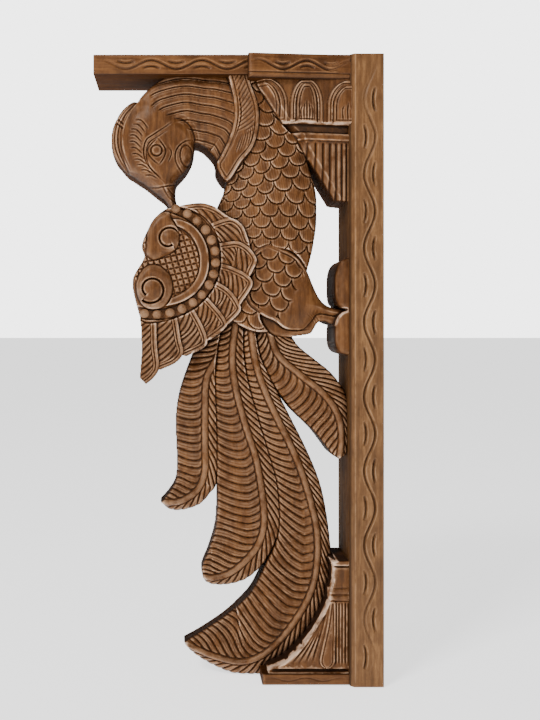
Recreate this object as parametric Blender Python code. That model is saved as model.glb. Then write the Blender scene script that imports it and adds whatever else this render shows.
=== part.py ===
"""A carved wooden wall corbel: a pierced plank with a post, a beam, a console, a fluted foot and a peacock.

Metres, +Z up, +X towards the wall, carved front at -Y. The origin is the middle of the post's wall face.
"""

import math

import bmesh
import bpy
import numpy as np

# Sizes in metres
HEIGHT = 0.610
WIDTH = 0.280
DEPTH = 0.076
POST_WIDTH = 0.0325
POST_CHAMFER = 0.005
BEAM_HEIGHT = 0.019
BEAM_SETBACK = 0.004
ABACUS_REACH = 0.0985
ABACUS_HEIGHT = 0.0235
ABACUS_PROUD = 0.005
PLATE_REACH = 0.084
PLATE_HEIGHT = 0.0105
PLATE_SETBACK = 0.0065

# Carving units: the bracket is 591 of them from the beam's underside down, and 76 through the plank
CARVED_HEIGHT = 591.0
CARVED_DEPTH = 76.0
LOWEST = -305.0
HIGHEST = 293.0
BORDER = 0.7
UNIT = (HEIGHT - BEAM_HEIGHT) / CARVED_HEIGHT
FRONT = -DEPTH / 2
TOP = HEIGHT / 2

# How the carving is set out, in carving units
BARB_PITCH = 11.0
BARB_DEPTH = 2.3
RIB_WIDTH = 3.4
SCALE_LENGTH = 15.4
SCALE_WIDTH = 17.6
SCALE_LIFT = 3.2
STRAND_PITCH = 8.9
CHAMFER_WIDTH = 6.5
CHAMFER_DROP = 8.0
BEADS = 15
BEAD_RADIUS = 4.7
BEAD_RING = (-188.0, 107.0, 59.0, 53.0)
BEAD_ANGLES = (70.0, -100.0)
BACK_RELIEF = 0.3
GRID = 1.3
TRIANGLES = 9200


def smooth_line(points, closed=False, steps=8):
    """A smooth line through the points."""
    at = np.array(points, float)
    if closed:
        before, after, later = np.roll(at, 1, 0), np.roll(at, -1, 0), np.roll(at, -2, 0)
    else:
        longer = np.vstack([2 * at[0] - at[1], at, 2 * at[-1] - at[-2]])
        before, at, after, later = longer[:-3], longer[1:-2], longer[2:-1], longer[3:]
    pieces = []
    for part in np.arange(steps) / steps:
        pieces.append(
            at
            + part * (after - before) / 2
            + part**2 * (before - 2.5 * at + 2 * after - later / 2)
            + part**3 * (1.5 * at - before / 2 - 1.5 * after + later / 2)
        )
    line = np.stack(pieces, 1).reshape(-1, 2)
    return np.vstack([line, line[0] if closed else after[-1]])


def straight_line(points):
    """A closed line with straight sides."""
    return np.array(points + points[:1], float)


def spread(values, part):
    """Values given evenly from 0 to 1, read smoothly at each part."""
    knots = smooth_line([(number / (len(values) - 1), value) for number, value in enumerate(values)])
    return np.interp(part, knots[:, 0], knots[:, 1])


def along_line(line, across, up):
    """How far along a line each place lies, how far to the line's left, and the line's length."""
    nearest = np.full(across.shape, np.inf)
    along = np.zeros(across.shape)
    side = np.ones(across.shape)
    start = 0.0
    for first, last in zip(line[:-1], line[1:]):
        run, rise = last - first
        length = math.hypot(run, rise)
        if length == 0:
            continue
        part = np.clip(((across - first[0]) * run + (up - first[1]) * rise) / length**2, 0, 1)
        off_across = across - first[0] - part * run
        off_up = up - first[1] - part * rise
        far = off_across**2 + off_up**2
        nearer = far < nearest
        nearest = np.where(nearer, far, nearest)
        along = np.where(nearer, start + part * length, along)
        side = np.where(nearer, np.where(run * off_up > rise * off_across, 1.0, -1.0), side)
        start += length
    return along, np.sqrt(nearest) * side, start


def inside_line(line, across, up):
    """How far inside a closed line each place lies."""
    nearest = np.full(across.shape, np.inf)
    within = np.zeros(across.shape, bool)
    for first, last in zip(line[:-1], line[1:]):
        run, rise = last - first
        length_squared = run * run + rise * rise
        if length_squared == 0:
            continue
        part = np.clip(((across - first[0]) * run + (up - first[1]) * rise) / length_squared, 0, 1)
        far = (across - first[0] - part * run) ** 2 + (up - first[1] - part * rise) ** 2
        nearest = np.minimum(nearest, far)
        if rise:
            crosses = (first[1] > up) != (last[1] > up)
            within ^= crosses & (across < first[0] + run * (up - first[1]) / rise)
    return np.sqrt(nearest) * np.where(within, 1.0, -1.0)


def ease(value):
    """A soft step from 0 to 1."""
    part = np.clip(value, 0, 1)
    return part * part * (3 - 2 * part)


def roll_off(edge, radius, drop):
    """The depth that a rounded edge loses within its radius."""
    part = 1 - np.clip(edge / radius, 0, 1)
    return drop * (1 - np.sqrt(1 - np.minimum(part, 0.999) ** 2))


def dome(reach):
    """0 in the middle of a dome, 1 where its side stands upright."""
    return 1 - np.sqrt(1 - np.minimum(np.abs(reach), 0.98) ** 2)


def groove(value):
    """1 in the grooves at whole numbers, 0 on the rounded ridges between them."""
    return (1 - np.abs(np.sin(np.pi * value))) ** 1.25


def vee(distance, width, depth):
    """The depth of a cut of this width along a line at this distance."""
    return depth * np.clip(1 - np.abs(distance) / (width / 2), 0, 1)


def wander(across, up, size, reach):
    """A slow waver, as of a hand that follows a drawn line."""
    first = np.sin(across / size + 1.7 * np.sin(up / (1.9 * size)) + 0.6)
    second = np.sin(up / (0.8 * size) + 1.3 * np.sin(across / (1.4 * size)) + 2.1)
    return reach * (first + second) / 2


class Sheet:
    """Places across and up the plank, with the front's depth and the distance inside the outline at each."""

    def __init__(self, step, detail=1.0):
        left, right, bottom, top = -238, 9, -308, 297
        columns = int(round((right - left) / step)) + 1
        rows = int(round((top - bottom) / step)) + 1
        self.step = step
        self.detail = detail
        self.across, self.up = np.meshgrid(
            left + step * np.arange(columns), bottom + step * np.arange(rows), indexing="ij"
        )
        self.depth = np.full(self.across.shape, CARVED_DEPTH)
        self.inside = np.full(self.across.shape, -CARVED_HEIGHT)

    def window(self, line, margin=4):
        """The part of the sheet around a line, and the places in it."""
        low = np.min(line, 0) - margin
        high = np.max(line, 0) + margin
        left, right = np.searchsorted(self.across[:, 0], [low[0], high[0]])
        bottom, top = np.searchsorted(self.up[0], [low[1], high[1]])
        part = slice(left, right), slice(bottom, top)
        return part, self.across[part], self.up[part]

    def lay(self, part, edge, depth, blend=1.3):
        """Lay a form over what is there, where its distance inside its own outline is above zero."""
        under = self.inside[part]
        cover = ease((edge - np.minimum(under, 0)) / blend + 0.5)
        self.depth[part] = self.depth[part] * (1 - cover) + depth * cover
        self.inside[part] = np.maximum(under, edge)

    def cut(self, part, depth):
        """Cut into what is there."""
        self.depth[part] += self.detail * depth

    def stroke(self, points, width, depth):
        """One cut of the knife along a curve, shallower at its ends."""
        line = smooth_line(points, steps=4)
        part, across, up = self.window(line, width)
        along, side, length = along_line(line, across, up)
        to_end = np.minimum(along, length - along)
        self.cut(part, vee(side, width, depth) * np.sqrt(np.clip(4 * to_end / length, 0, 1)))


def tail_feather(sheet, spine, far_side, post_side, front):
    """A long feather: a rounded rib along its spine, and barbs that sweep from it to both edges."""
    line, far_line, post_line = smooth_line(spine), smooth_line(far_side), smooth_line(post_side)
    outline = np.vstack([far_line, post_line[::-1], far_line[:1]])
    part, across, up = sheet.window(outline)
    edge = inside_line(outline, across, up)
    along, side, length = along_line(line, across, up)
    off = np.abs(side)
    reach = off / np.maximum(off + np.maximum(edge, 0), 0.5)
    depth = spread(front, along / length) + 6.0 * reach**2 + roll_off(edge, 3.0, 2.5)
    rib = 2.2 * np.clip(1 - (off / RIB_WIDTH) ** 2, 0, 1)

    far_along, _, far_length = along_line(far_line, across, up)
    post_along, _, post_length = along_line(post_line, across, up)
    share_at_edge = np.where(side > 0, post_along / post_length, far_along / far_length)
    share = along / length * (1 - reach) + share_at_edge * reach
    sweep = 17 * (1 - np.exp(-off / 11)) + 0.05 * off
    barbs = BARB_DEPTH * ease((off - RIB_WIDTH) / 2) * groove((share * length - sweep) / BARB_PITCH)
    sheet.lay(part, edge, depth - rib + sheet.detail * barbs)


def tail(sheet):
    """Four feathers, each lapping the one before it."""
    tail_feather(
        sheet,
        [(-113, 66), (-118, 44), (-125, 16), (-137, -8), (-139, -37), (-139, -75), (-139, -100),
         (-146, -119), (-163, -131),
         (-183, -133)],
        [(-130, 66), (-139, 44), (-153, 10), (-164, -22), (-168, -50), (-167, -88), (-168, -110),
         (-175, -123), (-183, -132)],
        [(-98, 66), (-104, 44), (-122, -5), (-123, -37), (-122, -75), (-127, -113), (-133, -123),
         (-144, -135), (-161, -141),
         (-175, -140), (-183, -132)],
        [25, 26, 28, 30, 34],
    )
    tail_feather(
        sheet,
        [(-104, 66), (-109, 44), (-112, 17), (-111, -5), (-106, -31), (-98, -59), (-89, -87), (-84, -113),
         (-81, -137),
         (-81, -156), (-86, -173), (-97, -188), (-112, -201), (-128, -207), (-141, -207)],
        [(-118, 66), (-122, 44), (-127, 19), (-129, -5), (-128, -37), (-127, -75), (-127, -110),
         (-127, -141), (-129, -160),
         (-135, -180), (-142, -198), (-141, -208)],
        [(-92, 66), (-94, 44), (-92, -11), (-82, -50), (-70, -90), (-64, -112), (-63, -144), (-67, -168),
         (-80, -193),
         (-95, -208), (-111, -214.5), (-127, -216), (-137, -213.5), (-141, -208)],
        [23, 24, 26, 29, 34],
    )
    tail_feather(
        sheet,
        [(-95, 49), (-91, 16), (-86, -5), (-76, -31), (-65, -54), (-56, -72), (-44, -101), (-33, -137),
         (-28, -166),
         (-29, -197), (-35, -222), (-49, -248), (-67, -271), (-84, -285), (-104, -291), (-130, -286),
         (-157, -275)],
        [(-101, 49), (-101, 19), (-97, -10), (-86, -50), (-74, -90), (-68, -112), (-65, -144), (-67, -169),
         (-78, -193), (-84, -206), (-95, -225), (-117, -246), (-142, -263), (-160, -273)],
        [(-79, 49), (-76, 1), (-67, -22), (-55, -46), (-38, -80), (-25, -112), (-18, -144), (-14, -176),
         (-12, -206), (-17, -229), (-25, -250), (-37, -269), (-52, -287), (-67, -299), (-81, -304.5),
         (-96, -306),
         (-116, -303), (-140, -292), (-155, -281), (-160, -273)],
        [22, 23, 25, 28, 32, 38],
    )
    tail_feather(
        sheet,
        [(-84, 56), (-76, 38), (-67, 14), (-46, -5), (-23, -24), (-10, -43), (-6, -64), (-8, -86)],
        [(-91, 49), (-86, 17), (-76, -6), (-66, -23), (-55, -38), (-43, -50), (-31, -62), (-21, -75),
         (-15, -83),
         (-9, -87)],
        [(-60, 49), (-49, 26), (-32, 11), (-16, -2), (-5, -16), (1, -30), (2, -48), (2, -68), (0, -82),
         (-4, -86),
         (-9, -87)],
        [24, 22, 19, 16, 14],
    )


def scales(along, side):
    """The depth under overlapping round-ended scales, in staggered rows along the body."""
    row_pitch = 0.72 * SCALE_LENGTH
    round_end = 0.60 * SCALE_WIDTH
    row = np.floor(along / row_pitch)
    depth = np.full(along.shape, SCALE_LIFT)
    covered = np.zeros(along.shape, bool)
    for rows_back in (2, 1, 0, -1):
        this_row = row - rows_back
        shift = np.where(this_row % 2 == 0, 0.0, 0.5)
        middle = (np.round(side / SCALE_WIDTH - shift) + shift) * SCALE_WIDTH
        off = (side - middle) / (SCALE_WIDTH / 2)
        end = (this_row + 0.8) * row_pitch + round_end * (1 - np.abs(off) ** 2.4) ** 0.55
        slope = 1 + 1.1 * np.abs(off) ** 3
        to_end = (end - along) / slope
        here = (to_end > 0) & ~covered
        rise = SCALE_LIFT * np.clip(to_end / (1.5 * SCALE_LENGTH), 0, 1)
        depth = np.where(here, rise + 0.5 * off**2, depth)
        covered |= here
    return depth


BODY_AXIS = [(-108, 290), (-93, 250), (-79, 217), (-70, 184), (-66, 151), (-67, 117), (-74, 83), (-84, 30)]


def body(sheet):
    """The scaled body, its crown along the axis."""
    outline = smooth_line(
        [(-108, 296), (-86, 282), (-60, 254), (-43, 221), (-36, 196), (-30, 177), (-29, 150), (-32, 125),
         (-38, 100), (-46, 76), (-54, 52), (-74, 38), (-98, 40), (-122, 60), (-132, 108), (-130, 150),
         (-120, 176), (-120, 189), (-127, 204), (-122, 240), (-114, 280)],
        closed=True,
    )
    part, across, up = sheet.window(outline)
    edge = inside_line(outline, across, up)
    along, side, _ = along_line(smooth_line(BODY_AXIS), across, up)
    depth = 12 + 24 * dome(np.where(side > 0, side / 44, side / 60)) + roll_off(edge, 4, 3)
    bend = wander(across, up, 23, 1.5)
    sheet.lay(part, edge, depth + sheet.detail * scales(along - 28 + bend, side + bend))


def thigh(sheet):
    """The thigh's underside, its scaled bulge with a ridge above, and the leg that reaches the post."""
    under = smooth_line(
        [(-84, 56), (-40, 58), (-10, 58), (6, 58), (6, 46), (-13, 44), (-22, 47), (-28, 46), (-32, 40),
         (-36, 35), (-47, 33), (-60, 32), (-76, 36)],
        closed=True,
    )
    part, across, up = sheet.window(under)
    edge = inside_line(under, across, up)
    sheet.lay(part, edge, 22 + roll_off(edge, 4, 4))
    bulge = smooth_line(
        [(-80, 122), (-70, 119.5), (-56, 116.5), (-47, 109.5), (-39.5, 98), (-33, 82.5), (-27, 70.5),
         (-20.3, 63.5), (-10.6, 60), (5, 58), (5, 51), (-12, 52), (-22, 54), (-29, 54), (-34, 48),
         (-42, 40), (-52, 38.5), (-62, 41), (-72, 48), (-84, 54), (-98, 66), (-100, 90), (-94, 112)],
        closed=True,
    )
    part, across, up = sheet.window(bulge)
    edge = inside_line(bulge, across, up)
    along, side, _ = along_line(smooth_line(BODY_AXIS), across, up)
    lean = 0.12 * np.clip(-60 - across, 0, 40) + 0.1 * np.clip(across + 40, 0, 40)
    plain = ease((across + 47 + 0.5 * (90 - up) * (up < 90)) / 6) * ease((up - 30) / 10)
    bend = wander(across, up, 23, 1.5)
    scaled = (1 - plain) * ease((edge - 3) / 2) * scales(along - 28 + bend, side + bend)
    sheet.lay(part, edge, 13.5 + lean + roll_off(edge, 16, 10) + sheet.detail * scaled)


def foot(sheet):
    """The perch on the post: one long toe above the leg and one below it."""
    for low, high, front in ((15, 57, 8), (60, 108, 8)):
        outline = smooth_line(
            [(7, high), (-3, high), (-9.5, high - 5), (-13, high - 16), (-13, low + 12), (-10, low + 3.5),
             (-3, low),
             (7, low)],
            closed=True,
        )
        part, across, up = sheet.window(outline)
        edge = inside_line(outline, across, up)
        ends = roll_off(np.minimum(up - low, high - up), 5, 3)
        sheet.lay(part, edge, front + roll_off(across + 13.5, 9, 15) + ends + 3 * ease((across - 2) / 3))


def console(sheet):
    """The stepped console under the beam: lotus petals, a cove and flutes, cut off by a slant."""
    outline = straight_line(
        [(-93, 297), (-88, 276), (-62, 238), (-49, 226), (-49, 223), (-13, 165), (7, 163), (7, 297)]
    )
    part, across, up = sheet.window(outline)
    edge = inside_line(outline, across, up)
    level = up + 0.043 * (across + 60)
    to_post = np.clip(2.8 - across, 0, 80)
    flute = (np.sqrt(14.4 + 1.28 * to_post) - 3.8) / 0.64
    flutes = 3.0 * groove(flute) * ease((224 - level) / 3)
    depth = np.interp(
        level,
        [164, 224, 225.2, 230, 231.2, 233, 239.5, 240.5, 300],
        [12.5, 12, 9.2, 9.2, 10.5, 16.5, 15.5, 6.5, 6.5],
    )
    into_post = 6 * ease((across - 2.5) / 2)
    _, from_slant, _ = along_line(outline[:6], across, up)
    depth += CHAMFER_DROP * np.clip(1 - np.abs(from_slant) / CHAMFER_WIDTH, 0, 1)
    sheet.lay(part, edge, depth + sheet.detail * flutes + roll_off(edge, 2, 1.5) + into_post)
    for middle, inner_half, outer_half, inner_top, outer_top in (
        (-85.5, 19.0, 26.5, 279, 283.5),
        (3.0, 19.0, 24.5, 275.5, 280.5),
        (-41.2, 10.8, 16.3, 277.5, 281.5),
    ):
        lotus_petal(sheet, outline, middle, inner_half, outer_half, inner_top, outer_top)


def lotus_petal(sheet, outline, middle, inner_half, outer_half, inner_top, outer_top):
    """One lotus petal within the console: a rimmed outer lobe and a cushioned inner one."""
    foot_up = 240
    lobes = ((outer_half, outer_top, 4.4, 0.6), (inner_half, inner_top, 3.0, 2.6))
    for half_width, top, front, crown in lobes:
        spine = np.array([(middle, foot_up - 2.0), (middle, top)])
        part, across, up = sheet.window(spine, half_width + 3)
        rise = np.clip((up - foot_up) / (top - foot_up), 0, 1)
        half = half_width * np.sqrt(1 - np.clip((rise - 0.35) / 0.65, 0, 1) ** 2.3)
        side = across - middle
        edge = np.minimum(np.minimum(half - np.abs(side), top - up), up - foot_up + 0.04 * (across + 60))
        depth = front + crown * (side / half_width) ** 2 + roll_off(edge, 2.6, 2.8)
        depth += 4 * ease((across - 2.5) / 2)
        _, from_slant, _ = along_line(outline[:6], across, up)
        depth += CHAMFER_DROP * np.clip(1 - np.abs(from_slant) / CHAMFER_WIDTH, 0, 1)
        limit = inside_line(outline, across, up) - 0.01
        sheet.lay(part, np.minimum(edge, limit), depth, 1.0)


NECK_OUTLINE = [(-206, 262), (-200, 269), (-192, 277), (-180, 286), (-168, 292), (-140, 296), (-110, 296),
                (-92, 270),
                (-94, 217), (-119, 186), (-127, 200), (-130, 208), (-136, 215), (-142, 220), (-148.5, 222)]
HEAD_OUTLINE = [(-149.5, 214), (-152, 205), (-157, 196), (-163, 189), (-167.5, 183), (-168, 169), (-166, 157),
                (-174, 157), (-178, 165), (-189, 174), (-199, 182), (-206, 186.5), (-214.5, 194), (-220, 212),
                (-222, 226), (-221, 238), (-217, 249), (-211, 257)]


def neck(sheet):
    """The bent neck that runs smoothly into the head, with the strands combed along it."""
    outline = smooth_line(NECK_OUTLINE + HEAD_OUTLINE, closed=True)
    skull = smooth_line([(-150, 228), (-160, 240), (-172, 246), (-190, 256),
                         (-204, 262)] + HEAD_OUTLINE[::-1], closed=True)
    middle = smooth_line(
        [(-91, 222), (-100, 238), (-111, 249.5), (-129, 256), (-142, 258), (-157.5, 260.5), (-172, 258),
         (-184, 253),
         (-194, 240), (-198, 224)]
    )
    part, across, up = sheet.window(outline)
    edge = inside_line(outline, across, up)
    along, side, length = along_line(middle, across, up)
    reach = side / spread([46, 42, 40, 38, 36, 36, 34], along / length)
    on_neck = 12 + 17 * dome(reach) + roll_off(edge, 5, 4)
    on_head = 11 + roll_off(edge, 24, 17)
    in_skull = inside_line(skull, across, up)
    share = ease((in_skull + 4) / 12)
    sheet.lay(part, edge, on_neck * (1 - share) + on_head * share)

    pitch = STRAND_PITCH + 0.02 * np.clip(across + 150, 0, 50)
    combed = ease((across + 194) / 4) * ease((edge - 1) / 3) * (1 - ease((in_skull + 2) / 4))
    sheet.cut(part, 1.8 * combed * groove(side / pitch))
    sheet.stroke([(-170, 245), (-162, 244.5), (-154.5, 239), (-150, 230), (-149, 221)], 8.0, 3.4)


def crest(sheet):
    """The crest behind the head, in long lines with two nicks."""
    outline = smooth_line(
        [(-200, 262), (-206, 264.5), (-211, 264.5), (-219, 258.5), (-225, 250.5), (-230, 239.5), (-232, 227),
         (-230, 212), (-224, 202), (-211, 190.5), (-200, 205), (-200, 240)],
        closed=True,
    )
    part, across, up = sheet.window(outline)
    edge = inside_line(outline, across, up)
    sheet.lay(part, edge, 24 + roll_off(edge, 9, 9))


def head(sheet):
    """The head's crest line, brow, eye, cheek, and the line at the root of its beak."""
    sheet.stroke([(-206, 262), (-214, 252), (-220, 238), (-221, 222), (-218, 208), (-212, 195)], 4.0, 1.8)
    sheet.stroke(
        [(-170.5, 242), (-178, 236.5), (-188, 230), (-196.5, 223.5), (-199, 212), (-196, 201),
         (-189, 193), (-181, 186)],
        4.0,
        1.8,
    )
    part, across, up = sheet.window([(-186.6, 213.6)], 12)
    from_eye = np.hypot((across + 186.6) / 0.8, up - 213.6)
    sheet.cut(part, vee(from_eye - 9, 5.0, 2.0))
    part, across, up = sheet.window([(-157.5, 209.6)], 18)
    from_cheek = np.hypot((across + 157.5) / 0.62, up - 209.6)
    sheet.cut(part, vee(from_cheek - 9.8, 5.0, 1.8) - 1.0 * ease((9 - from_cheek) / 5))
    sheet.stroke([(-195, 179.5), (-186, 178.2), (-177, 179.2), (-167, 182.5)], 3.6, 1.6)


def collar(sheet):
    """The rimmed collar feather between neck and body."""
    outline = smooth_line(
        [(-118, 296), (-102, 296), (-94, 276), (-88, 258), (-87, 243), (-89, 228), (-94, 215), (-104, 203),
         (-117, 184), (-126, 192), (-128, 201), (-123, 210), (-115, 228), (-111, 246), (-112, 266)],
        closed=True,
    )
    axis = smooth_line([(-110, 296), (-99, 262), (-98, 238), (-106, 214), (-124, 190)])
    part, across, up = sheet.window(outline)
    edge = inside_line(outline, across, up)
    _, side, _ = along_line(axis, across, up)
    rim = vee(edge - 4.2, 3.4, 1.6)
    sheet.lay(part, edge, 9.0 + 0.008 * side**2 + roll_off(edge, 2.5, 2.2) + sheet.detail * rim)


# The leading edges of the wing's short feathers, from the shoulder out, each with two points round its end
FAN = [
    [(-170, 158), (-156, 161), (-142, 162), (-129, 158), (-119, 151)],
    [(-138, 140), (-130, 144), (-114.5, 148), (-103, 141), (-97, 127)],
    [(-128, 122), (-121.5, 124), (-107, 125), (-95.5, 118), (-89, 107), (-94, 94)],
    [(-128, 104), (-121.5, 103), (-111, 99.5), (-98, 92.5), (-93, 83), (-104, 65)],
    [(-133, 88), (-126, 85), (-114.5, 77), (-106, 65), (-105, 57), (-116, 45)],
    [(-142, 79), (-137, 71), (-124, 56), (-118, 46), (-120, 40), (-133, 30)],
    [(-154, 67), (-149, 57), (-141.5, 43), (-137, 30), (-140, 22), (-158, 13)],
    [(-168, 58), (-166, 49), (-163, 30), (-160.5, 17), (-168, 7), (-183, 0)],
    [(-187, 56), (-186.5, 46), (-186, 24), (-184, 3), (-189, -7), (-197, -14)],
]
FAN_CLOSE = [(-204, 58), (-202, 42), (-201, 18), (-203, -8)]
FAN_HUB = (-165, 96)
FAN_LAP = 4.0


def fan_feather(sheet, number):
    """A short wing feather: a rim along its leading edge and round its end, and curved barbs behind it."""
    points = FAN[number]
    line = smooth_line(points)
    if number + 1 < len(FAN):
        behind = np.array(FAN[number + 1][:-2], float)
        away = behind - np.array(points[: len(behind)], float)
        behind += FAN_LAP * away / np.hypot(away[:, :1], away[:, 1:])
    else:
        behind = np.array(FAN_CLOSE, float)
    outline = np.vstack([line, behind[::-1], [FAN_HUB], line[:1]])
    part, across, up = sheet.window(outline, 4)
    edge = inside_line(outline, across, up)
    _, from_rim, _ = along_line(line, across, up)
    off = np.abs(from_rim)
    straight = np.array(points[:-2], float)
    onward = straight[-1] - straight[-2]
    straight = np.vstack([straight, straight[-1] + 30 * onward / math.hypot(*onward)])
    along, side, _ = along_line(smooth_line(straight), across, up)
    behind_rim = np.abs(side)
    depth = 9.0 + 0.13 * np.clip(off, 0, 30) + roll_off(off, 1.8, 1.4) + 0.06 * np.clip(18 - along, 0, 18)
    sweep = 1.1 * behind_rim - 0.016 * behind_rim**2
    barbs = 1.8 * groove((along - sweep) / 8.4) * ease((off - 5.5) / 1.5)
    sheet.lay(part, edge, depth + sheet.detail * (barbs + vee(off - 4.6, 3.0, 1.8)), 1.0)


def crescent(sheet):
    """The smooth raised crescent around the wing's shoulder."""
    spine = smooth_line(
        [(-186, 138), (-176, 143), (-164, 142.5), (-152, 135.5), (-143.5, 123), (-140, 108), (-142, 92),
         (-151, 78), (-165, 69), (-182, 64.5), (-196, 63)]
    )
    part, across, up = sheet.window(spine, 8)
    along, side, length = along_line(spine, across, up)
    half = spread([1.2, 3.0, 4.0, 4.4, 4.4, 4.4, 4.2, 4.0, 3.6, 3.0, 1.5], along / length)
    edge = half - np.abs(side)
    sheet.lay(part, edge, 7.6 + 2.6 * dome(side / (half + 0.4)))


def wing_disc(sheet):
    """The round shoulder of the wing, hollowed in the middle, and the groove that the beads sit in."""
    outline = smooth_line(
        [(-176, 158), (-158, 157), (-142, 150), (-130, 136), (-124.5, 118), (-124.5, 98), (-132, 78),
         (-146, 62),
         (-164, 52), (-184, 46.5), (-200, 47), (-207, 66), (-210, 88), (-199, 109), (-201, 122), (-191, 144)],
        closed=True,
    )
    part, across, up = sheet.window(outline)
    edge = inside_line(outline, across, up)
    within = ease((36 - np.hypot((across + 179) / 0.97, up - 104)) / 2)
    ring_across, ring_up, reach_across, reach_up = BEAD_RING
    from_ring = (np.hypot((across - ring_across) / reach_across, (up - ring_up) / reach_up) - 1) * reach_up
    channel = 3.0 * ease((6.2 - np.abs(from_ring)) / 1.6)
    depth = 12.5 + roll_off(edge, 3, 4) - 1.4 * within + channel
    sheet.lay(part, edge, depth)


def curl(sheet, outline, middle, knob, start, front):
    """A coil of wood: a rounded roll that winds in to a knob."""
    line = smooth_line(outline, closed=True)
    part, across, up = sheet.window(line, 4)
    edge = inside_line(line, across, up)
    far = np.hypot(across - middle[0], up - middle[1])
    angle = np.mod(np.arctan2(up - middle[1], across - middle[0]) - start, 2 * math.pi)
    from_coil = np.abs(far - knob - 0.62 * knob * angle / (2 * math.pi))
    depth = front + roll_off(edge, 5, 4) + 0.012 * far**2
    coil = vee(from_coil, 3.6, 2.6) * ease((edge - 0.5) / 2)
    sheet.lay(part, edge, depth + sheet.detail * (coil - 2.0 * ease((knob - far) / 3)))


def curls(sheet):
    """The two coiled rolls at the wing's front, one above the other."""
    curl(
        sheet,
        [(-175, 154), (-185, 151), (-192.5, 142), (-196, 131), (-197, 120), (-196, 111), (-189, 106.5),
         (-180, 110),
         (-171, 114), (-165.5, 121), (-164.5, 132), (-168, 142), (-172, 148)],
        (-174.5, 127.5),
        7.0,
        math.radians(-60),
        6.5,
    )
    curl(
        sheet,
        [(-195, 102), (-203, 94), (-206.5, 83), (-204.5, 70), (-198, 61), (-187, 59), (-176, 64), (-171, 75),
         (-171.5, 88), (-176.5, 96), (-185, 102)],
        (-185.5, 78.5),
        8.5,
        math.radians(75),
        6.0,
    )


def beads(sheet):
    """The row of beads round the wing's shoulder."""
    middle_across, middle_up, reach_across, reach_up = BEAD_RING
    first, last = BEAD_ANGLES
    for number in range(BEADS):
        angle = math.radians(first + (last - first) * number / (BEADS - 1))
        at = (middle_across + reach_across * math.cos(angle), middle_up + reach_up * math.sin(angle))
        part, across, up = sheet.window([at], BEAD_RADIUS + 3)
        far = np.hypot(across - at[0], up - at[1])
        edge = np.minimum(BEAD_RADIUS - far, sheet.inside[part] - 0.5)
        sheet.lay(part, edge, 8 + 4 * dome(far / BEAD_RADIUS))


def wing(sheet):
    """The folded wing, over the body and the tail's roots."""
    for number in range(len(FAN)):
        fan_feather(sheet, number)
    wing_disc(sheet)
    crescent(sheet)
    if sheet.detail:
        curls(sheet)
        beads(sheet)


def base(sheet):
    """The foot block: a ledge, a block, two rings and a fluted flare with a lotus petal."""
    outline = straight_line(
        [(6, -185), (-17, -185), (-15, -192), (-15, -204), (-17, -212), (-19, -214), (-19, -224),
         (-22.3, -232),
         (-27.3, -242.6), (-34.2, -254.3), (-42.2, -264.9), (-51, -274.6), (-61, -283.8), (-78, -291.7),
         (-80, -304), (6, -304)]
    )
    part, across, up = sheet.window(outline)
    edge = inside_line(outline, across, up)
    depth = np.interp(
        up,
        [-310, -294.5, -293.2, -291.4, -290, -226, -224, -212, -210.5, -192.5, -191, -189.5, -186],
        [9, 9, 14, 14, 10.5, 10, 8.5, 8.5, 10, 10, 12.5, 7.5, 7],
    )
    rings = 1.9 * groove((up + 212) / 6.4) * ease((-210 - up) / 1.5) * ease((up + 226) / 1.5)
    fluted = ease((-225.5 - up) / 2) * ease((across + 15.3) / 1.5) * ease((up + 287) / 4)
    flutes = 2.3 * fluted * groove(across / 3.05)
    into_post = 6 * ease((across - 1.5) / 2)
    sheet.lay(part, edge, depth + sheet.detail * (rings + flutes) + roll_off(edge, 2, 1.5) + into_post)

    spine = smooth_line([(-15.5, -227), (-17, -250), (-19.5, -270), (-21.6, -289.5)])
    part, across, up = sheet.window(spine, 14)
    along, side, length = along_line(spine, across, up)
    round_end = np.sqrt(1 - np.clip((along - length + 9) / 9, 0, 1) ** 2)
    half = spread([3, 4.5, 6.5, 8.6], along / length) * round_end
    edge = half - np.abs(side)
    sheet.lay(part, edge, 8.2 + roll_off(edge, 2.2, 2), 1.0)
    for reach in (0.16, 0.42, 0.68):
        sheet.stroke(
            [(-21 - 3 * reach, -236 - 4 * reach), (-25 - 13 * reach, -255 - 6 * reach),
             (-30 - 34 * reach, -284)],
            4.0,
            2.2,
        )


def carve(sheet):
    """Every carved form, each laid over the ones before it."""
    for form in (tail, base, body, thigh, foot, console, crest, neck, head, collar, wing):
        form(sheet)
    sheet.inside = np.minimum(sheet.inside, np.minimum(sheet.up - LOWEST - BORDER, HIGHEST - sheet.up))


def cell_faces(solid):
    """For each way a cell's four corners can lie, its face and its cut sides, as numbers around the cell.

    Even numbers are corners and odd numbers are the crossings between them.
    """
    ring = []
    cuts = []
    for corner in range(4):
        if solid[corner]:
            ring.append(2 * corner)
        if solid[corner] != solid[(corner + 1) % 4]:
            ring.append(2 * corner + 1)
    for first, last in zip(ring, ring[1:] + ring[:1]):
        if first % 2 and last % 2 and solid[(first // 2)]:
            cuts.append((first, last))
    return ring, cuts


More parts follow.
